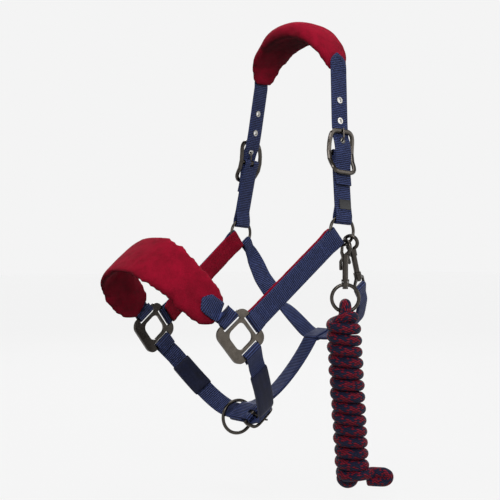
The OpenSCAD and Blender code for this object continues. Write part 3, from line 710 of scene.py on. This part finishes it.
class HALTER_OT_stage(bpy.types.Operator):
    """Make the camera, the soft studio light and the pale floor"""

    bl_idname = "halter.stage"
    bl_label = "Stage"

    def execute(self, context):
        scene = context.scene
        camera = bpy.data.objects.new("camera", bpy.data.cameras.new("camera"))
        scene.collection.objects.link(camera)
        camera.location = (-0.9122, -1.0355, -0.2876)
        heading = math.radians(38.77)
        look = Vector((math.sin(heading), math.cos(heading), math.radians(0.15)))
        camera.rotation_euler = look.to_track_quat("-Z", "Y").to_euler()
        camera.data.lens, camera.data.sensor_width = 74.3, 36
        camera.data.clip_end = 50
        scene.camera = camera
        scene.view_settings.view_transform = "Standard"
        world = bpy.data.worlds.new("pale studio")
        world.use_nodes = True
        sky = world.node_tree
        # The studio is pale all round and darker overhead, which gives the plated metal something to reflect.
        way = add_node(
            sky, "ShaderNodeSeparateXYZ", [(0, add_node(sky, "ShaderNodeTexCoord").outputs["Generated"])]
        )
        tone = ramp(
            sky, way.outputs[2],
            [(0.0, [0.905] * 3), (0.3, [0.905] * 3), (0.55, [0.25] * 3), (1.0, [0.4] * 3)]
        )
        sky.links.new(tone, sky.nodes["Background"].inputs["Color"])
        scene.world = world
        world.cycles_visibility.diffuse = False
        for name, at, size, power in (
            ("key_light", (-1.7, -1.7, 1.0), 1.3, 26),
            ("top_light", (-0.1, -0.3, 1.8), 1.8, 22),
            ("fill_light", (1.1, -2.0, 0.1), 1.2, 7),
            ("rim_light", (1.0, 1.7, 0.8), 1.0, 12),
        ):
            lamp = bpy.data.lights.new(name, "AREA")
            lamp.shape, lamp.size, lamp.energy = "DISK", size, power
            light = bpy.data.objects.new(name, lamp)
            light.location = at
            light.rotation_euler = (
                Vector((-0.08, 0, -0.28)) - Vector(at)
            ).to_track_quat("-Z", "Y").to_euler()
            scene.collection.objects.link(light)
        bm = bmesh.new()
        bmesh.ops.create_grid(bm, x_segments=8, y_segments=8, size=12)
        bmesh.ops.translate(bm, verts=bm.verts, vec=(0, 0, CAD_BOX[0][2] - 0.012))
        mesh = bpy.data.meshes.new("floor")
        bm.to_mesh(mesh)
        bm.free()
        floor = bpy.data.objects.new("floor", mesh)
        scene.collection.objects.link(floor)
        material, tree, shader = new_material("matt_studio_floor")
        mottle = cloud(tree, object_place(tree), 3.0)
        base = list(scene.halter_colours.floor)
        paint = ramp(tree, mottle, [(0.3, shade(base, 0.05)), (0.7, shade(base, 0.055))])
        set_shader(
            tree, shader,
            [
                ("Roughness", 0.9), ("Specular IOR Level", 0.1), ("Emission Color", (*base, 1)),
                ("Emission Strength", 0.885)
            ],
            Base_Color=paint
        )
        mesh.materials.append(material)
        floor.visible_diffuse = False
        return {"FINISHED"}


class HALTER_OT_rope(bpy.types.Operator):
    """Lay the lead rope over the snap's eye and wind it into its hank"""

    bl_idname = "halter.rope"
    bl_label = "Lead rope"

    def execute(self, context):
        thick = context.scene.halter_sizes.rope
        bm = bmesh.new()
        line, total = lay_rope(bm, rope_route(), thick / MM)
        rope = finish_piece(
            bm, "lead_rope_braid", finish_of("rope"), "lead_eye",
            ("lead_rope", "rope_hank", "rope_end")
        )
        return {"FINISHED"}


# ---- Pads ----
PAD_END_T, PAD_END_W, PAD_T, PAD_W = 10, 32, 22, 74
ARCH_W = 78 - PAD_END_T / 2 - 1.2 - 1
ARCH_H = 58 + PAD_T / 2


def pad_point(f):
    return vec(2, -ARCH_W * math.cos(f), -58 + ARCH_H * math.sin(f))


def pad_out(f):
    return unit(vec(0, -math.cos(f) / ARCH_W, math.sin(f) / ARCH_H))


def pad_half_t(f):
    return mix(PAD_END_T, PAD_T, max(0, math.sin(f)) ** 1.5) / 2


def pad_half_w(f):
    return mix(PAD_END_W, PAD_W, max(0, math.sin(f)) ** 0.6) / 2


def pillow(half_w, half_t, cols, k=0.55, m=0.75):
    out = []
    for f in np.linspace(0, 2 * math.pi, cols + 1)[:-1]:
        c, s = math.cos(f), math.sin(f)
        out.append((math.copysign(abs(c) ** k, c) * half_w, math.copysign(abs(s) ** m, s) * half_t))
    return out


def inflate(piece, cap, voxel=0.005, pressure=4.0):
    """Swells a pad as its filling would: a cloth skin under pressure, with each point's travel capped."""
    mesher = piece.modifiers.new("remesh", "REMESH")
    mesher.mode, mesher.voxel_size = "VOXEL", voxel
    apply_modifiers(piece)
    start = np.array([v.co for v in piece.data.vertices])
    skin = piece.modifiers.new("cloth", "CLOTH")
    skin.settings.quality = 6
    skin.settings.use_pressure = True
    skin.settings.uniform_pressure_force = pressure
    skin.settings.effector_weights.gravity = 0
    scene = bpy.context.scene
    for step in range(1, 21):
        scene.frame_set(step)
    seen = piece.evaluated_get(bpy.context.evaluated_depsgraph_get())
    swelled = np.array([v.co for v in seen.data.vertices])
    move = swelled - start
    far = np.linalg.norm(move, axis=1)
    move *= np.minimum(1, cap / np.maximum(far, 1e-9))[:, None]
    piece.modifiers.clear()
    for v, at in zip(piece.data.vertices, start + move):
        v.co = at
    scene.frame_set(1)


def wrinkled(bm, height, size):
    """Moves the points out and in by soft noise, as a hand-filled cover has."""
    bm.normal_update()
    for v in bm.verts:
        p = v.co / size
        v.co += v.normal * height * (noise.noise(p) + 0.5 * noise.noise(p * 2.3))


def pad_piece(name, node, rings, us, vs, puff, height, size):
    bm = bmesh.new()
    grid_tube(bm, rings, us, vs)
    piece = finish_piece(bm, name, finish_of("fleece"), "halter", (node,))
    inflate(piece, puff)
    bm = bmesh.new()
    bm.from_mesh(piece.data)
    bmesh.ops.smooth_vert(
        bm, verts=bm.verts, factor=0.5, use_axis_x=True, use_axis_y=True, use_axis_z=True
    )
    wrinkled(bm, height, size)
    bm.to_mesh(piece.data)
    bm.free()
    for face in piece.data.polygons:
        face.use_smooth = True
    fine = piece.modifiers.new("subdivision", "SUBSURF")
    fine.levels = fine.render_levels = 1
    return piece


class HALTER_OT_crown_pad(bpy.types.Operator):
    """Sew and fill the crown pad"""

    bl_idname = "halter.crown_pad"
    bl_label = "Crown pad"

    def execute(self, context):
        rings = []
        turns = np.radians(np.linspace(0, 180, 91))
        for i, f in enumerate(turns):
            close = rounded_end(i, 90, 4, 0.75)
            w, t = (pad_half_w(f) - 1.2) * close, (pad_half_t(f) - 1.4) * close
            out = pad_out(f)
            p = pad_point(f)
            droop = 9 * math.sin(f)
            rings.append([p + X * x - out * (z + droop * (x / w) ** 2) for x, z in pillow(w, t, 40)])
        pad_piece(
            "crown_pad_cover", "crown_pad", rings, [j / 40 for j in range(41)],
            list(np.linspace(0, 0.3, 92)), context.scene.halter_sizes.puff, 0.0011, 0.03
        )
        return {"FINISHED"}


# ---- Noseband ----
NOSE_T = 9
NOSE_TOP = vec(PLATE[0], 0, PLATE[2]) + 126 * FLAT_V
NOSE_START = PLATE + 32 * V - (WEB_T + 0.3 + NOSE_T / 2) * N


def nose_half(n=14):
    curve = bezier(
        NOSE_START, NOSE_START + 62 * unit(V - 0.06 * Y), NOSE_TOP - vec(0, 182 * 0.34, 0), NOSE_TOP, n
    )
    sway = np.interp(np.linspace(0, 1, n + 1), [0, 0.12, 0.3, 0.55, 1], [0, 0.7, 1, 0.9, 0.2])
    return [p - FLAT_U * 12 * s for p, s in zip(curve, sway)]


def nose_half_w(s):
    return np.interp(s, [0, 0.1, 0.22, 0.5, 0.8, 1], [19, 27, 31.5, 33, 37, 38])


class HALTER_OT_nose_pad(bpy.types.Operator):
    """Sew and fill the nose pad"""

    bl_idname = "halter.nose_pad"
    bl_label = "Nose pad"

    def execute(self, context):
        half = nose_half(42)
        points = np.array(half + [p * OFF for p in half[-2::-1]])

        def outline(i):
            close = rounded_end(i, 84, 3, 0.7)
            half_w = nose_half_w(1 - abs(i - 42) / 42) - 0.6
            return pillow(half_w * close, (NOSE_T / 2 - 0.8) * close, 44, 0.5, 0.7)

        rings = swept(points, [FLAT_U] * len(points), outline)
        pad_piece(
            "nose_pad_cover", "nose_pad", rings, [j / 44 for j in range(45)],
            list(np.linspace(0, 0.4, 86)), 0.0016, 0.0007, 0.028
        )
        return {"FINISHED"}


# ---- Straps of the crown and cheeks ----
def in_heel(y, z):
    return RING + y * S + z * HN


BILLET_T = 2.4
TONGUE_Y = BAR_Y + 15
EYELETS = [(TONGUE_Y, 3.7, -13.5), (TONGUE_Y + 27, 0, 0), (TONGUE_Y + 54, 0, 0)]


def discs(bm, places, radius, depth):
    for m in places:
        bmesh.ops.create_cone(
            bm, cap_ends=True, segments=24, radius1=radius * MM, radius2=radius * MM, depth=depth * MM,
            matrix=m
        )


class HALTER_OT_billets(bpy.types.Operator):
    """Lay the crown billets through their buckles and sew them to the crown pad"""

    bl_idname = "halter.billets"
    bl_label = "Billets"

    def execute(self, context):
        lap = [
            pad_point(f) + pad_out(f) * (pad_half_t(f) + BILLET_T / 2 + 1)
            for f in np.radians([0, 4, 8, 12, 16, 20])
        ]
        over = 2.6 + WEB_T + BILLET_T / 2 + 0.3
        route = [(57, 5.9), (64, 4.4), (73, WEB_T + BILLET_T / 2 + 0.75), (84, 4.2),
                 (92, over - 0.3), (99, over), (105, over - 0.4),
                 (TONGUE_Y, 3.7), (120, 1.3), (131, 0.3), (141, 0), (155, 0), (BILLET_LEN - 22, 0)]
        points = [in_heel(y, z) for y, z in route] + lap
        half = [HALF_W - 0.8, HALF_W] + [HALF_W] * (len(points) - 5) + [HALF_W - 0.5, HALF_W - 4, 1.2]
        rows = softened(rows_of(points, A, 1.0, half))
        for tag, node, flip, turn in SIDES:
            piece = strap(f"{tag}_billet_webbing", f"{node}_billet", flip(rows), BILLET_T)
            holes = bmesh.new()
            places = []
            for y, z, tilt in EYELETS:
                place = frame_matrix(RING, A, S) @ Matrix.Translation((0, y * MM, z * MM)) @ Matrix.Rotation(
                    math.radians(tilt), 4, "X"
                )
                places.append(turn(place))
            discs(holes, places, 3.0, 12)
            bmesh.ops.recalc_face_normals(holes, faces=holes.faces)
            cut_holes(piece, holes)
        return {"FINISHED"}


RING_UP = square_to(S, N)


def box_cutter(m, size):
    bm = bmesh.new()
    bmesh.ops.create_cube(bm, size=1, matrix=m @ Matrix.Diagonal((*[s * MM for s in size], 1)))
    bmesh.ops.recalc_face_normals(bm, faces=bm.faces)
    return bm


class HALTER_OT_heel_straps(bpy.types.Operator):
    """Fold the heel straps round the cheek rings and the buckle bars"""

    bl_idname = "halter.heel_straps"
    bl_label = "Heel straps"

    def execute(self, context):
        first = eye(RING, RING_UP, N, RING_EYE, A)
        last = eye(in_heel(BAR_Y, 0), -S, HN, (0, 0, 12, 2.6), A)
        rows = softened(np.vstack([first, last[::-1]]), closed=True)
        for tag, node, flip, turn in SIDES:
            piece = strap(f"{tag}_heel_webbing", f"{node}_heel_strap", flip(rows), closed=True)
            slot = frame_matrix(RING, A, S) @ Matrix.Translation((0, (BAR_Y + 1) * MM, 0))
            cut_holes(piece, box_cutter(turn(slot), (5.6, 13, 16)))
        foot = RING + 30 * RING_UP
        head = in_heel(BAR_Y - 12, 0)
        up = unit(head - foot)
        side = square_to(A, up)
        m = frame_matrix(foot, side, up) @ Matrix.Translation((2 * MM, 2.5 * MM, 2.5 * MM))
        bm = bmesh.new()
        bmesh.ops.create_cube(bm, size=1, matrix=m @ Matrix.Diagonal((0.018, 0.0125, 0.0014, 1)))
        bmesh.ops.bevel(
            bm, geom=bm.edges, offset=0.0005, affect="EDGES", segments=3, profile=0.5, material=-1
        )
        finish_piece(
            bm, "near_heel_bare_tab", finish_of("tab"), "halter", ("left_heel_tab",)
        )
        return {"FINISHED"}


class HALTER_OT_cheek_straps(bpy.types.Operator):
    """Fold the cheek straps round the plates and rings, and line them with fleece"""

    bl_idname = "halter.cheek_straps"
    bl_label = "Cheek straps and linings"

    def execute(self, context):
        side = np.cross(U, N)
        last = eye(RING, -U, N, RING_EYE, side)
        first = eye(PLATE, U, N, (PLATE_AT, PLATE_AT, JOIN_AT, 2.8), side)
        rows = softened(np.vstack([first, last[::-1]]), closed=True)
        low = -WEB_T - 1.35
        inner = [
            (PLATE_AT + 2, -6), (PLATE_AT + 5, -5.2), (JOIN_AT, low - 0.2), (JOIN_AT + 8, low),
            (CHEEK_LEN - 40, low), (CHEEK_LEN - 30, low - 0.3), (CHEEK_LEN - 19, -5.9),
            (CHEEK_LEN - 11, -6.2)
        ]
        lining = softened(
            rows_of([PLATE + U * y + N * z for y, z in inner], side, 0, [12.5, 13.6] + [14] * 5 + [13])
        )
        for tag, node, flip, _ in SIDES:
            strap(f"{tag}_cheek_webbing", f"{node}_cheek_strap", flip(rows), closed=True)
            path, _ = spaced(flip(lining), 1.6)
            p, last = path[:, :3], len(path) - 1
            rings = swept(
                p, path[:, 3:6],
                lambda i: pillow(path[i, 7], 1.25 * rounded_end(i, last, 3, 0.6), 28, 0.35, 0.6)
            )
            bm = bmesh.new()
            grid_tube(bm, rings, [j / 28 for j in range(29)], list(np.linspace(0, 0.16, len(p) + 1)))
            wrinkled(bm, 0.0003, 0.012)
            finish_piece(
                bm, f"{tag}_cheek_fleece", finish_of("fleece"), "halter",
                (f"{node}_cheek_lining",)
            )
        return {"FINISHED"}


class HALTER_OT_nose_tabs(bpy.types.Operator):
    """Fold the noseband's pointed tabs round the plates and lay them on the nose pad"""

    bl_idname = "halter.nose_tabs"
    bl_label = "Noseband tabs"

    def execute(self, context):
        half = np.array(nose_half())
        ahead = np.gradient(half, axis=0)
        tips = []
        for i in (1, 2, 3, 4):
            t = unit(ahead[i])
            tips.append(half[i] + np.cross(square_to(FLAT_U, t), t) * (NOSE_T / 2 + WEB_T / 2 + 0.9))
        side = -np.cross(V, N)
        fold = eye(PLATE, V, N, (PLATE_AT, PLATE_AT, JOIN_AT - 4, 2.8), side)[::-1]
        lower = PLATE + (JOIN_AT - 4) * V
        tip = mix(tips[1], tips[2], 0.9)
        points = [mix(lower, tips[0], 0.5), tips[0], tips[1], mix(tips[1], tips[2], 0.35), tip]
        run = rows_of(
            points, [mix(side, FLAT_U, k) for k in (0.5, 1, 1, 1, 1)], 1,
            [HALF_W] * 3 + [HALF_W - 0.5, 1.2]
        )
        rows = softened(np.vstack([fold[:-1], run]))
        for tag, node, flip, _ in SIDES:
            strap(f"{tag}_nose_webbing", f"{node}_nose_tab", flip(rows), WEB_T)
        return {"FINISHED"}


# ---- Chin ----
DOWN = -FLAT_V
CHIN = vec(PLATE[0], 0, PLATE[2]) + 130 * DOWN - 8 * FLAT_U
CHIN_X = np.cross(-Y, DOWN)
CHIN_T = 2.6
CHIN_BAR = PLATE - PLATE_AT * V
CHIN_END_Y = 41


def in_chin(y, z):
    return CHIN - y * Y + z * DOWN


NEAR_DIR = square_to(in_chin(CHIN_END_Y + 9, 0) - CHIN_BAR, U)
FAR_DIR = unit(-V - 0.3 * N)
NEAR_LEG = bezier(
    CHIN_BAR + 11.5 * NEAR_DIR, CHIN_BAR + 60 * NEAR_DIR, in_chin(CHIN_END_Y + 12, -2),
    in_chin(CHIN_END_Y + 2, 0), 12
)
FAR_LEG = bezier(
    CHIN_BAR + 11.5 * FAR_DIR, CHIN_BAR + 62 * FAR_DIR, in_chin(54.5, 1), in_chin(16.5, 0), 12
)


def leg_rows(direction, leg):
    """From the lap on the inner side round the plate's bar and down the leg."""
    fold = eye(CHIN_BAR, direction, np.cross(U, direction), (0, 0, 12, 2.8), U, CHIN_T)
    across = leg_across(0, len(leg))
    return np.vstack([fold[:-1], rows_of(leg[1:], across[1:])])


def sleeve(name, node, rows):
    rows, total = spaced(rows, 3.0)
    last = len(rows) - 1

    def outline(i):
        edge = 0.55 if i in (0, last) else 0
        return pillow(13.9 - edge, 2.75 - edge, 30, 0.22, 0.5)

    bm = bmesh.new()
    rings = swept(rows[:, :3], rows[:, 3:6], outline)
    grid_tube(
        bm, rings, [j * 0.058 / 30 for j in range(31)], list(np.linspace(0, total * MM, len(rows) + 1))
    )
    finish_piece(bm, name, finish_of("ribbon"), "halter", (node,))


def leg_across(first, count):
    return [mix(U, CHIN_X, min(1, (i + first) / 4)) for i in range(count)]


class HALTER_OT_chin_straps(bpy.types.Operator):
    """Lay the chin straps from the nose plates to the chin buckle, with their smooth sleeves"""

    bl_idname = "halter.chin_straps"
    bl_label = "Chin straps and sleeves"

    def execute(self, context):
        over = 2.2 + WEB_T + CHIN_T / 2 + 0.3
        near_end = [(41, 0.1), (35, 1.6), (31, 3.2), (25, over - 0.5), (20, over), (12, over - 0.6)]
        tail = rows_of([in_chin(y, z) for y, z in near_end], CHIN_X, 1, [HALF_W] * 5 + [HALF_W - 1.5])
        near = softened(np.vstack([leg_rows(NEAR_DIR, NEAR_LEG), tail]))
        bar = [
            (-16.5, 0), (-8, 0), (4, 0), (11, 1.0), (20, 3.5), (22.5, 2.5), (23.5, 0), (22.5, -2.5),
            (20, -3.5), (15, -3.0), (11, -2.4)
        ]
        far = mirrored(leg_rows(FAR_DIR, FAR_LEG))
        bend = rows_of([in_chin(y, z) for y, z in bar], CHIN_X)
        far = softened(np.vstack([far, bend]))
        piece = strap("near_chin_webbing", "left_chin_strap", near, CHIN_T - 0.4)
        holes = bmesh.new()
        place = frame_matrix(CHIN, CHIN_X, -Y)
        discs(
            holes,
            [place @ Matrix.Translation((0, 0.031, 0.0032)) @ Matrix.Rotation(math.radians(-18), 4, "X")],
            3.0, 12
        )
        bmesh.ops.recalc_face_normals(holes, faces=holes.faces)
        cut_holes(piece, holes)
        piece = strap("off_chin_webbing", "right_chin_strap", far, CHIN_T - 0.4)
        cut_holes(piece, box_cutter(place @ Matrix.Translation((0, 0.021, 0)), (5.6, 11, 14)))
        sleeve(
            "near_chin_sleeve", "left_chin_sleeve", softened(rows_of(NEAR_LEG[2:10], leg_across(2, 8)))
        )
        sleeve(
            "off_chin_sleeve", "right_chin_sleeve",
            mirrored(softened(rows_of(FAR_LEG[2:7], leg_across(2, 5))))
        )
        return {"FINISHED"}


# ---- Throat and jowl ----
THROAT = vec(RING[0] + 52, 0, RING[2] - 138)
THROAT_DOWN = unit(THROAT - vec(RING[0], 0, RING[2]))
THROAT_X = np.cross(-Y, THROAT_DOWN)
THROAT_OUT = from_ring(-52)
THROAT_HOOK = vec(-0.983, -103.46, -274.355)
SNAP_AXIS = unit(vec(-21, -5, 57))
SNAP_SIDE = square_to(vec(0.9, 0.38, 0.22), SNAP_AXIS)
THROAT_BAR = THROAT_HOOK - 61 * SNAP_AXIS


def throat_at(f):
    return vec(RING[0] + 52 * f[0], RING[1] * f[1], RING[2] - 138 * f[2])


class HALTER_OT_throat_straps(bpy.types.Operator):
    """Lay the throat strap from the off ring to the throat snap, and the jowl strap to the chin"""

    bl_idname = "halter.throat_straps"
    bl_label = "Throat and jowl straps"

    def execute(self, context):
        foot = THROAT - vec(0, 14.5, 0)
        start = RING + 30 * THROAT_OUT
        across = np.cross(THROAT_OUT, N)
        far = [start, start + 12 * THROAT_OUT] + [
            throat_at(f)
            for f in ((0.57, 0.88, 0.46), (0.76, 0.7, 0.66), (0.88, 0.46, 0.81), (0.97, 0.24, 0.95))
        ] + [foot]
        far_rows = rows_of(
            far, [mix(across, THROAT_X, k) for k in np.linspace(0, 1, len(far))], 1,
            [9, 11.5] + [HALF_W] * (len(far) - 2)
        )
        near_start = THROAT_BAR - 11 * SNAP_AXIS
        near = [near_start, near_start - 8 * SNAP_AXIS] + [
            throat_at(f) for f in ((0.88, 0.84, 0.82), (0.93, 0.58, 0.96), (0.98, 0.3, 0.995))
        ] + [foot]
        near_rows = rows_of(near, [mix(SNAP_SIDE, THROAT_X, k) for k in np.linspace(0, 1, len(near))])
        route = softened(np.vstack([mirrored(far_rows), near_rows[::-1]]), passes=3, step=9)
        ring_end = mirrored(eye(RING, THROAT_OUT, N, (15.9, RING_R, 29, 2.7), across, half=8))
        snap_end = eye(
            THROAT_BAR, -SNAP_AXIS, np.cross(SNAP_SIDE, -SNAP_AXIS), (0, 0, 10.5, 2.5), SNAP_SIDE
        )
        route = route[1:-1]
        p, side = route[:, :3], route[:, 3:6]
        off = np.cross(side, np.gradient(p, axis=0))
        if np.dot(off[0], ring_end[0, :3] - ring_end[-1, :3]) < 0:
            ring_end = ring_end[::-1]
        if np.dot(off[-1], snap_end[0, :3] - snap_end[-1, :3]) < 0:
            snap_end = snap_end[::-1]
        rows = softened(two_layers(route, ring_end[::-1], snap_end), closed=True)
        strap("throat_webbing", "throat_strap", rows, closed=True)
        bm = bmesh.new()
        edge = HALF_W + 1.3
        top, low = THROAT - edge * THROAT_X, CHIN + edge * CHIN_X
        slack = np.linalg.norm(low - top)
        curve = np.array(
            bezier(
                top, top + 0.3 * slack * vec(-0.55, 0, -0.83), low + 0.24 * slack * vec(0.97, 0, -0.2),
                low, 14
            )
        )
        rows = rows_of(curve, Y)
        ahead = np.gradient(curve, axis=0)
        ends = [rows_of([curve[k] + unit(ahead[k]) * d], Y) for k, d in ((-1, 0.8), (0, -0.8))]
        lay_webbing(
            bm, softened(two_layers(rows, ends[1], ends[0]), closed=True), WEB_T - 0.1, closed=True
        )
        for middle, x in ((THROAT, THROAT_X), (CHIN, CHIN_X)):
            z = np.cross(x, Y)
            loop = [
                (-13.2, 2.75), (0, 2.85), (13.2, 2.75), (13.9, 0), (13.2, -2.75), (0, -2.85),
                (-13.2, -2.75), (-13.9, 0)
            ]
            lay_webbing(
                bm, softened(rows_of([middle + x * a + z * b for a, b in loop], Y), closed=True),
                WEB_T - 0.1, closed=True
            )
        finish_piece(bm, "jowl_webbing", finish_of("webbing"), "halter", ("jowl_strap",))
        return {"FINISHED"}


def sew(bm, line, radius=0.38):
    """Lays stitches of thread end to end along a line of points."""
    stitch = bpy.context.scene.halter_sizes.stitch / MM
    rows, _ = spaced(rows_of(line, X), stitch * 1.35)
    for a, b in zip(rows[:-1, :3], rows[1:, :3]):
        run = Vector(b - a)
        turn = run.to_track_quat("Z", "Y").to_matrix().to_4x4()
        m = Matrix.Translation(Vector((a + b) / 2) * MM) @ turn
        bmesh.ops.create_cone(
            bm, cap_ends=True, segments=6, radius1=radius * MM, radius2=radius * MM, depth=stitch * MM,
            matrix=m
        )


def sewn_box(origin, across, along, out, x, y0, y1, z):
    corners = ((-x, y0), (x, y0), (x, y1), (-x, y1), (-x, y0))
    return [origin + across * a + along * b + out * z for a, b in corners]


class HALTER_OT_stitching(bpy.types.Operator):
    """Sew the straps' folds, the billet laps and the noseband tabs"""

    bl_idname = "halter.stitching"
    bl_label = "Stitching"

    def execute(self, context):
        side = unit(np.cross(U, N))
        lap = [
            (pad_point(f) + pad_out(f) * (pad_half_t(f) + BILLET_T + 1.3), w)
            for f, w in zip(np.radians([1, 5, 9, 13, 16]), (9.5, 9, 8, 6, 3))
        ]
        zigzag = [p + A * w * (1 if i % 2 else -1) for i, (p, w) in enumerate(lap)]
        edge = [p - A * w for p, w in lap] + [p + A * w for p, w in lap[::-1]]
        half = np.array(nose_half())
        ahead = np.gradient(half, axis=0)
        top = []
        for k, w in ((0.9, 9.8), (1.5, 9.8), (2.2, 9), (2.75, 2)):
            i = int(k)
            t = unit(mix(ahead[i], ahead[i + 1], k - i))
            out = np.cross(square_to(FLAT_U, t), t)
            top.append((mix(half[i], half[i + 1], k - i) + out * (NOSE_T / 2 + WEB_T + 1.05), w))
        tab = [p - FLAT_U * w for p, w in top] + [p + FLAT_U * w for p, w in top[::-1]]
        over = np.cross(THROAT_OUT, N)
        lines = [
            sewn_box(PLATE, side, U, N, 9.8, JOIN_AT, JOIN_AT + 9, WEB_T + 0.15),
            sewn_box(PLATE, side, U, N, 9.8, CHEEK_LEN - 40, CHEEK_LEN - 31, WEB_T + 0.15),
            sewn_box(RING, A, RING_UP, N, 9.8, 30.5, 33, WEB_T + 0.15),
            zigzag,
            edge,
            tab,
        ]
        for tag, flip in (("near", vec(1, 1, 1)), ("off", OFF)):
            bm = bmesh.new()
            for line in lines:
                sew(bm, [p * flip for p in line])
            if tag == "off":
                sew(bm, [p * flip for p in sewn_box(RING, over, THROAT_OUT, N, 8, 31, 38, WEB_T + 0.2)])
            finish_piece(bm, f"{tag}_stitching", finish_of("navy_thread"), "halter")
        return {"FINISHED"}


class HALTER_OT_hardware(bpy.types.Operator):
    """Give the rings, plates, buckles, eyelets and snaps their plated finishes, with the off nose plate
    darker as painted shade
    """

    bl_idname = "halter.hardware"
    bl_label = "Hardware finishes"

    def execute(self, context):
        for part in frame["record"]["subparts"]:
            key = {
                "black_nickel": "nickel", "gunmetal": "casting", "bright_metal": "bright",
                "spring_steel": "spring"
            }.get(part["material_slot"])
            # The off nose plate takes the darker black nickel instead of the gunmetal of its twin, as painted
            # shade for the off side.
            if part["node"] == "right_nose_plate":
                key = "nickel"
            if key:
                for slot in frame["nodes"][part["node"]].material_slots:
                    slot.material = finish_of(key)
        return {"FINISHED"}


class HALTER_PT_panel(bpy.types.Panel):
    """Sizes, colours and building steps of the halter"""

    bl_label = "Halter"
    bl_space_type = "VIEW_3D"
    bl_region_type = "UI"
    bl_category = "Halter"

    def draw(self, context):
        for group in (context.scene.halter_sizes, context.scene.halter_colours):
            for key in group.__annotations__:
                self.layout.prop(group, key)
        for step in STEPS:
            self.layout.operator(step.bl_idname)


STEPS = (
    HALTER_OT_stage,
    HALTER_OT_rope,
    HALTER_OT_crown_pad,
    HALTER_OT_nose_pad,
    HALTER_OT_billets,
    HALTER_OT_heel_straps,
    HALTER_OT_cheek_straps,
    HALTER_OT_nose_tabs,
    HALTER_OT_chin_straps,
    HALTER_OT_throat_straps,
    HALTER_OT_stitching,
    HALTER_OT_hardware,
)
CLASSES = (HalterSizes, HalterColours, *STEPS, HALTER_PT_panel)


def register():
    for cls in CLASSES:
        bpy.utils.register_class(cls)
    bpy.types.Scene.halter_sizes = PointerProperty(type=HalterSizes)
    bpy.types.Scene.halter_colours = PointerProperty(type=HalterColours)


def unregister():
    del bpy.types.Scene.halter_colours
    del bpy.types.Scene.halter_sizes
    for cls in reversed(CLASSES):
        bpy.utils.unregister_class(cls)


def main():
    register()
    for step in STEPS:
        getattr(bpy.ops.halter, step.bl_idname.split(".")[1])()


if __name__ == "__main__":
    main()
